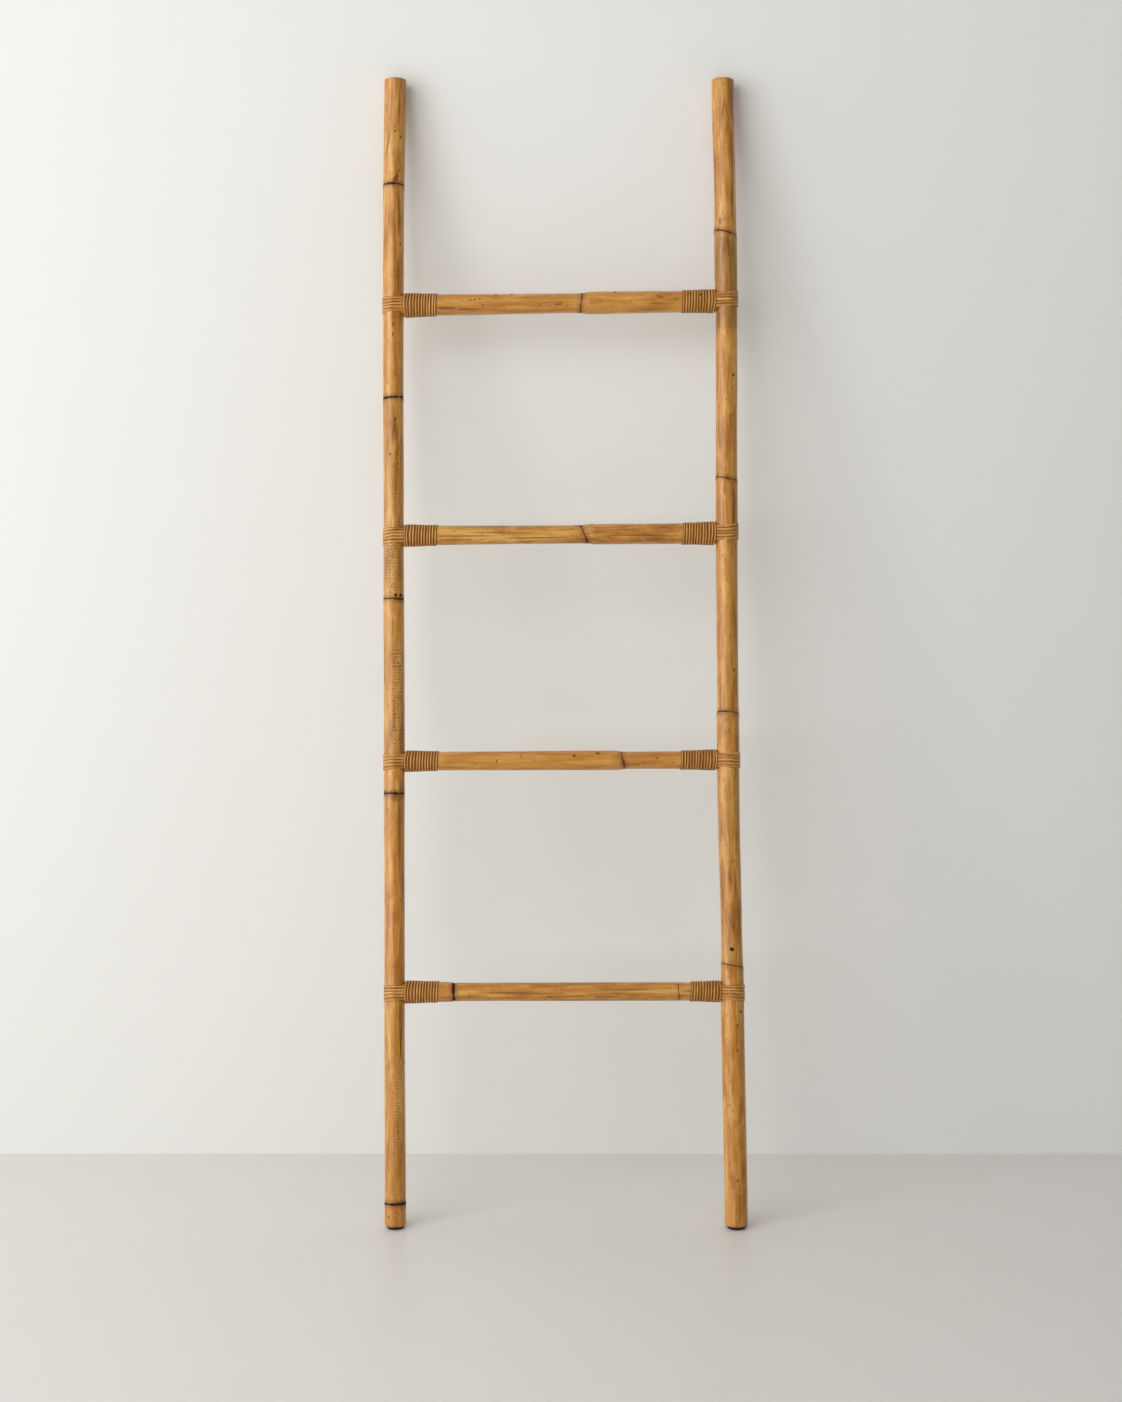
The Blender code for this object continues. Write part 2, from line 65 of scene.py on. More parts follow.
def eased(stations: Stations, share: float) -> float:
    """Reads a value between stations, eased from each one to the next.

    Args:
        stations: (share of the length, value), in order.
        share: where to read.

    Returns:
        The value there.
    """
    if share <= stations[0][0]:
        return stations[0][1]
    for (start, first), (end, last) in zip(stations, stations[1:]):
        if share <= end:
            t = (share - start) / (end - start)
            return first + (last - first) * t * t * (3 - 2 * t)
    return stations[-1][1]


def frame_along(origin: Vector, along: Vector, toward: Vector) -> Matrix:
    """Makes a frame whose Z runs one way, with X as near to another as that allows.

    Args:
        origin: the frame's origin.
        along: the direction of its Z.
        toward: the direction that its X leans to.

    Returns:
        The frame as a matrix.
    """
    z = along.normalized()
    y = z.cross(toward).normalized()
    return Matrix.Translation(origin) @ Matrix((y.cross(z), y, z)).transposed().to_4x4()


# --- the bench: modelling by hand ---


class Bench:
    """The few moves that every piece is made with."""

    @staticmethod
    def clear() -> None:
        """Leaves edit mode and deselects everything."""
        if bpy.context.object and bpy.context.object.mode != "OBJECT":
            bpy.ops.object.mode_set(mode="OBJECT")
        bpy.ops.object.select_all(action="DESELECT")

    @staticmethod
    def take(obj: bpy.types.Object) -> None:
        """Selects one object alone and makes it the active one."""
        Bench.clear()
        obj.select_set(True)
        bpy.context.view_layer.objects.active = obj

    @staticmethod
    def name(obj: bpy.types.Object, name: str) -> bpy.types.Object:
        """Names an object and its mesh."""
        obj.name = obj.data.name = name
        return obj

    @staticmethod
    def edit(obj: bpy.types.Object, edges: Callable[[bpy.types.MeshEdge], bool] | None = None,
             faces: Callable[[bpy.types.MeshPolygon], bool] | None = None) -> None:
        """Opens an object in edit mode with only the chosen edges or faces selected.

        Args:
            obj: the object.
            edges: says whether an edge is chosen.
            faces: says whether a face is chosen.
        """
        Bench.take(obj)
        mesh = obj.data
        mesh.vertices.foreach_set("select", [False] * len(mesh.vertices))
        mesh.edges.foreach_set("select", [False] * len(mesh.edges))
        mesh.polygons.foreach_set("select", [False] * len(mesh.polygons))
        if edges:
            bpy.context.tool_settings.mesh_select_mode = (False, True, False)
            mesh.edges.foreach_set("select", [edges(edge) for edge in mesh.edges])
        if faces:
            bpy.context.tool_settings.mesh_select_mode = (False, False, True)
            mesh.polygons.foreach_set("select", [faces(face) for face in mesh.polygons])
        bpy.ops.object.mode_set(mode="EDIT")

    @staticmethod
    def done() -> None:
        """Goes back to object mode."""
        bpy.ops.object.mode_set(mode="OBJECT")

    @staticmethod
    def straight(name: str, sides: int, radius: float, length: float, cuts: Sequence[int],
                 ends: str = "NOTHING") -> bpy.types.Object:
        """Adds a straight rod that stands on the origin along Z, cut into rings.

        Args:
            name: its name.
            sides: how many flats it has round it.
            radius: its radius.
            length: its length.
            cuts: how often each lengthwise edge is subdivided, one number for each pass.
            ends: how the primitive's ends are filled.

        Returns:
            The rod.
        """
        Bench.clear()
        bpy.ops.mesh.primitive_cylinder_add(vertices=sides, radius=radius, depth=length, end_fill_type=ends,
                                            location=(0, 0, length / 2))
        obj = Bench.name(bpy.context.object, name)
        bpy.ops.object.transform_apply(location=True, rotation=True, scale=True)
        for count in cuts:
            points = obj.data.vertices
            Bench.edit(obj, edges=lambda edge: abs(points[edge.vertices[0]].co.z - points[edge.vertices[1]].co.z)
                       > 1e-7)
            bpy.ops.mesh.subdivide(number_cuts=count)
            Bench.done()
        return obj

    @staticmethod
    def mould(obj: bpy.types.Object, place: Place) -> None:
        """Moves each point of a mesh to where a function puts it.

        Args:
            obj: the object.
            place: gives a point's new place from its old one.
        """
        flat: list[float] = []
        for vertex in obj.data.vertices:
            flat.extend(place(vertex.co))
        obj.data.vertices.foreach_set("co", flat)
        obj.data.update()

    @staticmethod
    def keep_grain(obj: bpy.types.Object, shift: float = 0.0) -> None:
        """Stores each point's present place as its place in the cane's grain.

        Args:
            obj: the straight cane or strand.
            shift: moves the figure along, so that two pieces differ.
        """
        attribute = obj.data.attributes.get(GRAIN) or obj.data.attributes.new(GRAIN, "FLOAT_VECTOR", "POINT")
        flat: list[float] = []
        for vertex in obj.data.vertices:
            flat.extend((vertex.co.x, vertex.co.y, vertex.co.z + shift))
        attribute.data.foreach_set("vector", flat)

    @staticmethod
    def place(obj: bpy.types.Object, matrix: Matrix) -> None:
        """Moves an object by a matrix and works the move into its mesh."""
        obj.matrix_world = matrix
        Bench.take(obj)
        bpy.ops.object.transform_apply(location=True, rotation=True, scale=True)

    @staticmethod
    def copy(obj: bpy.types.Object, name: str) -> bpy.types.Object:
        """Copies an object with a mesh of its own."""
        made = obj.copy()
        made.data = obj.data.copy()
        bpy.context.scene.collection.objects.link(made)
        return Bench.name(made, name)

    @staticmethod
    def join(pieces: Sequence[bpy.types.Object], name: str) -> bpy.types.Object:
        """Joins pieces into the first of them."""
        Bench.take(pieces[0])
        for piece in pieces:
            piece.select_set(True)
        bpy.ops.object.join()
        return Bench.name(pieces[0], name)

    @staticmethod
    def cut(obj: bpy.types.Object, cutter: bpy.types.Object) -> None:
        """Cuts one object out of another and throws the cutter away."""
        Bench.take(obj)
        modifier = obj.modifiers.new("cut", "BOOLEAN")
        modifier.operation, modifier.solver, modifier.object = "DIFFERENCE", "EXACT", cutter
        bpy.ops.object.modifier_apply(modifier=modifier.name)
        bpy.data.objects.remove(cutter, do_unlink=True)

    @staticmethod
    def smooth(obj: bpy.types.Object, degrees: float = 40.0) -> None:
        """Shades an object smooth except over sharper folds."""
        Bench.take(obj)
        bpy.ops.object.shade_smooth_by_angle(angle=math.radians(degrees))

    @staticmethod
    def discard(obj: bpy.types.Object) -> None:
        """Removes an object that was only a pattern for others."""
        bpy.data.objects.remove(obj, do_unlink=True)


# --- shader maths ---


Number = "float | Wire"


@dataclass(frozen=True)
class Wire:
    """A value on its way through a material, on which maths is written as plain expressions."""

    board: "Board"
    socket: bpy.types.NodeSocket

    def _math(self, operation: str, *values: Number) -> "Wire":
        """Adds one Math node."""
        return self.board.node("ShaderNodeMath", {"operation": operation}, dict(enumerate(values)))

    def __add__(self, other: Number) -> "Wire":
        """Adds."""
        return self._math("ADD", self, other)

    __radd__ = __add__

    def __sub__(self, other: Number) -> "Wire":
        """Subtracts."""
        return self._math("SUBTRACT", self, other)

    def __rsub__(self, other: Number) -> "Wire":
        """Subtracts from a number."""
        return self._math("SUBTRACT", other, self)

    def __mul__(self, other: Number) -> "Wire":
        """Multiplies."""
        return self._math("MULTIPLY", self, other)

    __rmul__ = __mul__

    def __truediv__(self, other: Number) -> "Wire":
        """Divides."""
        return self._math("DIVIDE", self, other)

    def __pow__(self, other: Number) -> "Wire":
        """Raises to a power."""
        return self._math("POWER", self, other)

    def __abs__(self) -> "Wire":
        """Drops the sign."""
        return self._math("ABSOLUTE", self)

    def most(self, other: Number) -> "Wire":
        """The larger of two values."""
        return self._math("MAXIMUM", self, other)

    def least(self, other: Number) -> "Wire":
        """The smaller of two values."""
        return self._math("MINIMUM", self, other)

    def wave(self) -> "Wire":
        """The sine."""
        return self._math("SINE", self)

    def step(self, low: float, high: float) -> "Wire":
        """Rises smoothly from 0 to 1 between two values, or falls if low is over high."""
        down = low > high
        ends = (high, low) if down else (low, high)
        settings = {"interpolation_type": "SMOOTHSTEP"}
        return self.board.node("ShaderNodeMapRange", settings, {
            0: self, 1: ends[0], 2: ends[1], 3: float(down), 4: float(not down)})


class Board:
    """One material and its nodes."""

    def __init__(self, name: str) -> None:
        """Starts an empty material.

        Args:
            name: the material's name.
        """
        self.material = bpy.data.materials.new(name)
        self.material.use_nodes = True
        self.tree = self.material.node_tree
        self.tree.nodes.clear()

    def node(self, kind: str, settings: dict[str, object] | None = None,
             sockets: dict[str | int, object] | None = None, out: str | int = 0) -> Wire:
        """Adds a node.

        Args:
            kind: the node's type.
            settings: its settings, set before its sockets; "stops" fills a ramp with (place, colour).
            sockets: values or wires for its inputs, by name or number.
            out: which output to hand on.

        Returns:
            The output.
        """
        made = self.tree.nodes.new(kind)
        for key, value in (settings or {}).items():
            if key == "stops":
                self._fill(made.color_ramp, value)
            else:
                setattr(made, key, value)
        for key, value in (sockets or {}).items():
            if isinstance(value, Wire):
                self.tree.links.new(value.socket, made.inputs[key])
            else:
                made.inputs[key].default_value = value
        return Wire(self, made.outputs[out])

    @staticmethod
    def _fill(ramp: bpy.types.ColorRamp, stops: Sequence[tuple[float, tuple[float, ...]]]) -> None:
        """Sets a ramp's stops."""
        while len(ramp.elements) < len(stops):
            ramp.elements.new(0.5)
        for element, (place, colour) in zip(ramp.elements, stops):
            element.position, element.color = place, (*colour[:3], 1.0)

    def grain(self) -> Wire:
        """The place on the straight cane."""
        return self.node("ShaderNodeAttribute", {"attribute_name": GRAIN}, out="Vector")

    def position(self) -> Wire:
        """Object coordinates."""
        return self.node("ShaderNodeTexCoord", out="Object")

    def stretch(self, vector: Wire, factors: tuple[float, float, float],
                shift: tuple[float, float, float] = (0, 0, 0)) -> Wire:
        """Scales a vector by a factor on each axis and then moves it."""
        return self.node("ShaderNodeVectorMath", {"operation": "MULTIPLY_ADD"}, {0: vector, 1: factors, 2: shift})

    def parts(self, vector: Wire) -> tuple[Wire, Wire, Wire]:
        """Splits a vector."""
        made = self.node("ShaderNodeSeparateXYZ", sockets={0: vector})
        outputs = made.socket.node.outputs
        return Wire(self, outputs[0]), Wire(self, outputs[1]), Wire(self, outputs[2])

    def noise(self, vector: Wire, scale: float, detail: float = 2.0, rough: float = 0.5,
              warp: float = 0.0) -> Wire:
        """Soft noise from 0 to 1."""
        return self.node("ShaderNodeTexNoise", {"noise_dimensions": "3D"}, {
            "Vector": vector, "Scale": scale, "Detail": detail, "Roughness": rough, "Distortion": warp})

    def cells(self, vector: Wire, scale: float, out: str = "Distance") -> Wire:
        """Distance from the nearest of many scattered points, or that point's colour."""
        return self.node("ShaderNodeTexVoronoi", {"feature": "F1"}, {"Vector": vector, "Scale": scale}, out)

    def mix(self, factor: Number, first: object, second: object, blend: str = "MIX") -> Wire:
        """Mixes two colours.

        Args:
            factor: how much of the second.
            first: a colour or a wire.
            second: a colour or a wire.
            blend: the blend mode.

        Returns:
            The colour.
        """
        made = self.node("ShaderNodeMix", {"data_type": "RGBA", "blend_type": blend}, {0: factor})
        for key, value in ((6, first), (7, second)):
            if isinstance(value, Wire):
                self.tree.links.new(value.socket, made.socket.node.inputs[key])
            else:
                made.socket.node.inputs[key].default_value = (*value[:3], 1.0)
        return Wire(self, made.socket.node.outputs[2])

    def ramp(self, factor: Wire, stops: Sequence[tuple[float, tuple[float, ...]]]) -> Wire:
        """A colour that changes along a value."""
        return self.node("ShaderNodeValToRGB", {"stops": stops}, {0: factor})

    def bump(self, height: Wire, distance: float, strength: float = 1.0) -> Wire:
        """A normal from a height of 0 to 1 that stands for a distance."""
        return self.node("ShaderNodeBump", None, {"Strength": strength, "Distance": distance, "Height": height})

    def finish(self, **sockets: object) -> bpy.types.Material:
        """Ends the material in one shader.

        Args:
            **sockets: the shader's sockets, with _ for a space.

        Returns:
            The material.
        """
        named = {key.replace("_", " "): value for key, value in sockets.items()}
        for key, value in named.items():
            if isinstance(value, tuple) and len(value) == 3:
                named[key] = (*value, 1.0)
        shader = self.node("ShaderNodeBsdfPrincipled", None, named)
        self.node_output(shader)
        return self.material

    def node_output(self, shader: Wire) -> None:
        """Links a shader to the material's surface."""
        output = self.tree.nodes.new("ShaderNodeOutputMaterial")
        self.tree.links.new(shader.socket, output.inputs["Surface"])


# --- finishes ---


Colour = tuple[float, float, float]


@dataclass(frozen=True)
class Mark:
    """A pit, scratch or stain at one place on the front of a cane."""

    along: float
    across: float
    length: float
    width: float
    turn: float = 0.0  # degrees from lengthwise
    ink: float = 1.0


@dataclass(frozen=True)
class Ripples:
    """A stretch of cane puckered crosswise like a washboard, with painted shade in its hollows and a painted highlight
    on its ridges.
    """

    start: float
    end: float
    left: float  # where across the front they begin, in metres from the middle
    right: float
    pitch: float = 0.0042


@dataclass(frozen=True)
class Stretch:
    """A length of cane that is darker or warmer than the rest; the darkest one, at each foot, is painted shade."""

    start: float
    end: float
    colour: Colour
    amount: float
    fade: float = 0.012


@dataclass(frozen=True)
class Node:
    """A growth ring of a cane: a dark line, with the cane a little thicker just below it."""

    along: float
    slope: float = 0.0  # how far the line climbs over one radius to the right
    bow: float = 0.0  # how far it climbs towards the front
    ledge: float = 0.0006
    reach: float = 0.014
    groove: float = 0.0007
    line: float = 0.0008  # half the width of the dark line
    ink: float = 1.0
    teeth: float = 0.0  # how far burnt teeth stand over the line


@dataclass(frozen=True)
class RattanFinish:
    """Varnished rattan: pale straw to honey, streaked lengthwise, mottled and pitted."""

    name: str
    pale: Colour = (0.70, 0.390, 0.090)
    mid: Colour = (0.56, 0.240, 0.034)
    deep: Colour = (0.27, 0.090, 0.007)
    ink: Colour = (0.036, 0.011, 0.002)
    streaks: float = 1.0
    blotches: float = 0.5
    pits: float = 0.5
    seed: float = 0.0
    radius: float = 0.0165
    nodes: Sequence[Node] = ()
    marks: Sequence[Mark] = ()
    ripples: Sequence[Ripples] = ()
    stretches: Sequence[Stretch] = ()

    def make(self) -> bpy.types.Material:
        """Builds the material.

        Returns:
            The material.
        """
        board = Board(self.name)
        grain = board.grain()
        across, depth, along = board.parts(grain)
        shift = (self.seed, self.seed * 1.7, self.seed * 2.3)
        # long soft streaks, a finer set inside them, and hair-fine fibres
        broad = board.noise(board.stretch(grain, (105, 105, 8.5), shift), 1.0, 3, 0.5, 1.2)
        fine = board.noise(board.stretch(grain, (420, 420, 15), shift), 1.0, 2, 0.5, 0.5)
        fibre = board.noise(board.stretch(grain, (2300, 2300, 40), shift), 1.0, 2, 0.6)
        cloud = board.noise(board.stretch(grain, (48, 48, 15), shift), 1.0, 4, 0.62, 1.1)
        tone = broad * 0.62 + fine * 0.14 + cloud * 0.46 + fibre * 0.04 - 0.13
        tone = (tone - 0.5) * (1.6 * self.streaks) + 0.5
        colour = board.ramp(tone, [(0.26, self.pale), (0.50, self.mid), (0.80, self.deep)])
        # warm brown blotches, longer than wide
        patch = board.noise(board.stretch(grain, (95, 95, 26), shift), 1.0, 4, 0.65, 0.9)
        blotch = patch.step(0.56, 0.66) * self.blotches
        colour = board.mix(blotch, colour, (0.36, 0.130, 0.014))
        for stretch in self.stretches:
            inside = along.step(stretch.start, stretch.start + stretch.fade) * along.step(
                stretch.end, stretch.end - stretch.fade)
            colour = board.mix(inside * stretch.amount, colour, stretch.colour, "MULTIPLY")
        pit = self._pits(board, grain, shift)
        ink = pit * 0.85
        height = fine * 0.25 + broad * 0.2 + fibre * 0.1 - pit * 0.9
        for ripple in self.ripples:
            pucker, crest = self._ripples(board, grain, across, depth, along, ripple)
            # Painted shade darkens each pucker's hollow, and a painted highlight pales the ridges between them.
            colour = board.mix(pucker * crest * 0.75, colour, (0.24, 0.082, 0.008))
            colour = board.mix(pucker * (1 - crest) * 0.22, colour, (0.85, 0.52, 0.19))
            height = height + pucker * crest * -1.3
        for node in self.nodes:
            line, glow, fall = self._line(board, grain, along, node, shift)
            ink = ink.most(line)
            colour = board.mix(glow, colour, (0.22, 0.068, 0.006))
            height = height - fall
        for mark in self.marks:
            spot = self._mark(board, grain, mark)
            if mark.ink < 0.7:
                colour = board.mix(spot * (mark.ink + 0.25), colour, (0.19, 0.058, 0.005))
            else:
                ink = ink.most(spot * mark.ink)
            height = height - spot * (0.8 * mark.ink)
        colour = board.mix(ink.least(1.0), colour, self.ink)
        rough = 0.25 + cloud * 0.12 + ink * 0.50
        return board.finish(Base_Color=colour, Roughness=rough, Normal=board.bump(height, 0.00055, 0.9),
                            Specular_IOR_Level=0.36, Coat_Weight=(1 - ink.least(1.0)) * 0.45, Coat_Roughness=0.30)

    def _pits(self, board: Board, grain: Wire, shift: tuple[float, float, float]) -> Wire:
        """Small dark pits, most of them longer than wide, with a few larger ones."""
        small_at = board.stretch(grain, (160, 160, 74), shift)
        wobble = board.noise(board.stretch(grain, (420, 420, 260)), 1.0, 2)
        few = board.noise(board.stretch(grain, (60, 60, 24), shift), 1.0, 2).step(0.40, 0.52)
        small = (board.cells(small_at, 1.0) + wobble * 0.10).step(0.235, 0.15) * few
        large_at = board.stretch(grain, (92, 92, 38), (self.seed * 3.1, 0.4, self.seed))
        large = (board.cells(large_at, 1.0) + wobble * 0.06).step(0.145, 0.090)
        dash_at = board.stretch(grain, (300, 300, 42), (self.seed, self.seed * 0.7, 2.0))
        dash = (board.cells(dash_at, 1.0) + wobble * 0.12).step(0.20, 0.12) * (1 - few)
        return (small * 0.9).most(large).most(dash * 0.55) * self.pits

    def _ripples(self, board: Board, grain: Wire, across: Wire, depth: Wire, along: Wire,
                 ripple: Ripples) -> tuple[Wire, Wire]:
        """How strongly the cane is puckered, and where a pucker's hollow runs."""
        wander = board.noise(board.stretch(grain, (160, 160, 70)), 1.0, 3, 0.6)
        crest = ((along * (2 * math.pi / ripple.pitch) + wander * 15.0).wave() * 0.5 + 0.5).step(0.30, 0.95)
        span = along.step(ripple.start - 0.010, ripple.start + 0.018) * along.step(
            ripple.end + 0.010, ripple.end - 0.018)
        side = across.step(ripple.left - 0.002, ripple.left + 0.004) * across.step(
            ripple.right + 0.002, ripple.right - 0.003)
        broken = board.noise(board.stretch(grain, (230, 230, 110)), 1.0, 3, 0.6).step(0.38, 0.62)
        return span * side * depth.step(0.004, -0.004) * broken, crest

    def _line(self, board: Board, grain: Wire, along: Wire, node: Node,
              shift: tuple[float, float, float]) -> tuple[Wire, Wire, Wire]:
        """A node's dark line, the brown glow on either side of it, and how deep it lies."""
        waver = board.noise(board.stretch(grain, (130, 130, 20), shift), 1.0, 3, 0.6) - 0.5
        away = along - node.along + waver * 0.0016
        weight = board.noise(board.stretch(grain, (95, 95, 3), shift), 1.0, 2).step(0.36, 0.60)
        width = (weight * 1.1 + 0.75) * node.line
        line = (abs(away) / width).step(1.30, 0.70) * node.ink
        if node.teeth:
            comb = board.noise(board.stretch(grain, (520, 520, 4), shift), 1.0, 1).step(0.50, 0.58)
            tooth = away.step(node.teeth, node.teeth * 0.6) * away.step(-0.0008, 0.0002) * comb
            line = line.most(tooth * node.ink)
        glow = abs(away).step(0.0100, 0.0) * (0.55 + 0.45 * weight)
        return line, glow * node.ink, abs(away).step(node.line * 2.2, 0.0) * 0.8

    def _mark(self, board: Board, grain: Wire, mark: Mark) -> Wire:
        """One placed mark as a mask."""
        depth = -math.sqrt(max(self.radius**2 - mark.across**2, 0))
        local = board.node("ShaderNodeMapping", {"vector_type": "TEXTURE"}, {
            "Vector": grain, "Location": (mark.across, depth, mark.along),
            "Rotation": (0, math.radians(mark.turn), 0), "Scale": (mark.width * 1.3, 0.014, mark.length * 1.15)})
        length = board.node("ShaderNodeVectorMath", {"operation": "LENGTH"}, {0: local}, "Value")
        ragged = board.noise(board.stretch(grain, (650, 650, 330)), 1.0, 2) - 0.5
        return (length + ragged * 0.9).step(1.15, 0.70)


@dataclass(frozen=True)
class CaneFinish:
    """Varnished binding cane: golden brown strands, with a painted highlight along the crown and painted shade at the
    edges, in the gaps.
    """

    name: str
    width: float
    # painted shade in the gaps between strands, put on each strand's edges
    gap: Colour = (0.170, 0.046, 0.002)
    gap_shade_start: float = 0.14  # share of the width, from the middle, at which the gap's shade begins
    pale: Colour = (0.74, 0.42, 0.115)
    mid: Colour = (0.41, 0.150, 0.014)
    deep: Colour = (0.27, 0.082, 0.005)

    def make(self) -> bpy.types.Material:
        """Builds the material.

        Returns:
            The material.
        """
        board = Board(self.name)
        grain = board.grain()
        across, _, _ = board.parts(grain)
        streak = board.noise(board.stretch(grain, (1500, 900, 14)), 1.0, 3, 0.6, 0.2)
        patch = board.noise(board.stretch(grain, (260, 200, 34)), 1.0, 3, 0.6, 0.5)
        tone = streak * 0.55 + patch * 0.45
        colour = board.ramp(tone, [(0.36, self.deep), (0.47, self.mid), (0.62, self.pale)])
        # Painted highlight: each strand is paled along its crown.
        crown = abs(across + (patch - 0.5) * 0.0006).step(self.width * 0.16, self.width * 0.02)
        colour = board.mix(crown * 0.50, colour, self.pale)
        # Painted shade: each strand's edges darken where it meets its neighbours, in the gaps.
        edge = abs(across).step(self.width * self.gap_shade_start, self.width * (self.gap_shade_start + 0.23))
        colour = board.mix(edge * 0.92, colour, self.gap)
        fleck = (board.cells(board.stretch(grain, (700, 500, 90)), 1.0)).step(0.16, 0.08)
        colour = board.mix(fleck * 0.6, colour, (0.06, 0.02, 0.005))
        height = streak * 0.6 + patch * 0.3 - edge * 0.3 - fleck * 0.4
        rough = 0.36 + patch * 0.16 + edge * 0.3
        return board.finish(Base_Color=colour, Roughness=rough, Normal=board.bump(height, 0.00035, 0.8),
                            Specular_IOR_Level=0.28, Coat_Weight=(1 - edge) * 0.4, Coat_Roughness=0.2)


@dataclass(frozen=True)
class EndGrainFinish:
    """Sawn rattan: brown, open-pored and dull, darker where it is stained."""

    name: str
    base: Colour = (0.42, 0.21, 0.07)
    pore: Colour = (0.10, 0.038, 0.010)

    def make(self) -> bpy.types.Material:
        """Builds the material.

        Returns:
            The material.
        """
        board = Board(self.name)
        grain = board.grain()
        flat = board.stretch(grain, (1, 1, 0.15))
        pores = board.cells(flat, 1150).step(0.42, 0.24)
        mottle = board.noise(flat, 160, 3, 0.6)
        colour = board.mix(mottle, self.base, tuple(0.55 * c for c in self.base))
        colour = board.mix(pores * 0.85, colour, self.pore)
        height = mottle * 0.3 - pores
        return board.finish(Base_Color=colour, Roughness=0.62 + mottle * 0.2,
                            Normal=board.bump(height, 0.0003, 0.8), Specular_IOR_Level=0.3)


@dataclass(frozen=True)
class RubberFinish:
    """Near-black rubber, matt, with dust and scuffs low on its edge."""

    name: str

    def make(self) -> bpy.types.Material:
        """Builds the material.

        Returns:
            The material.
        """
        board = Board(self.name)
        place = board.position()
        _, _, up = board.parts(place)
        dust = board.noise(place, 420, 4, 0.65).step(0.48, 0.75) * up.step(0.0035, 0.0)
        speck = board.noise(place, 2600, 2, 0.5)
        colour = board.mix(dust * 0.55, (0.020, 0.013, 0.008), (0.14, 0.115, 0.09))
        return board.finish(Base_Color=colour, Roughness=0.66 + speck * 0.2,
                            Normal=board.bump(speck, 0.0001, 0.6), Specular_IOR_Level=0.2)


@dataclass(frozen=True)
class MetalFinish:
    """Plated or blued steel, faintly brushed and worn."""

    name: str
    base: Colour
    worn: Colour
    rough: float

    def make(self) -> bpy.types.Material:
        """Builds the material.

        Returns:
            The material.
        """
        board = Board(self.name)
        place = board.position()
        wear = board.noise(place, 900, 4, 0.6).step(0.42, 0.7)
        brush = board.noise(board.stretch(place, (2500, 2500, 300)), 1.0, 2, 0.5)
        return board.finish(Base_Color=board.mix(wear, self.base, self.worn), Metallic=1.0,
                            Roughness=self.rough + brush * 0.15, Normal=board.bump(brush, 0.00005, 0.5))


@dataclass(frozen=True)
class PlasterFinish:
    """The studio's wall or floor: one pale colour, very slightly uneven."""

    name: str
    base: Colour
    shade: Colour
    rough: float
    shine: float
    one_sided: bool = False

    def make(self) -> bpy.types.Material:
        """Builds the material, clear from behind where it is one-sided.

        Returns:
            The material.
        """
        board = Board(self.name)
        place = board.position()
        cloud = board.noise(place, 1.4, 4, 0.55)
        fine = board.noise(place, 22, 3, 0.6)
        colour = board.mix(cloud * 0.7 + fine * 0.3, self.base, self.shade)
        material = board.finish(Base_Color=colour, Roughness=self.rough + fine * 0.08,
                                Specular_IOR_Level=self.shine, Normal=board.bump(fine, 0.001, 0.15))
        if self.one_sided:
            output = next(n for n in board.tree.nodes if n.type == "OUTPUT_MATERIAL")
            shader = Wire(board, output.inputs["Surface"].links[0].from_socket)
            clear = board.node("ShaderNodeBsdfTransparent")
            back = board.node("ShaderNodeNewGeometry", out="Backfacing")
            both = board.node("ShaderNodeMixShader", None, {0: back, 1: shader, 2: clear})
            board.tree.links.new(both.socket, output.inputs["Surface"])
        return material


# --- canes ---


class Side(Enum):
    """Which pole."""

    LEFT = -1
    RIGHT = 1


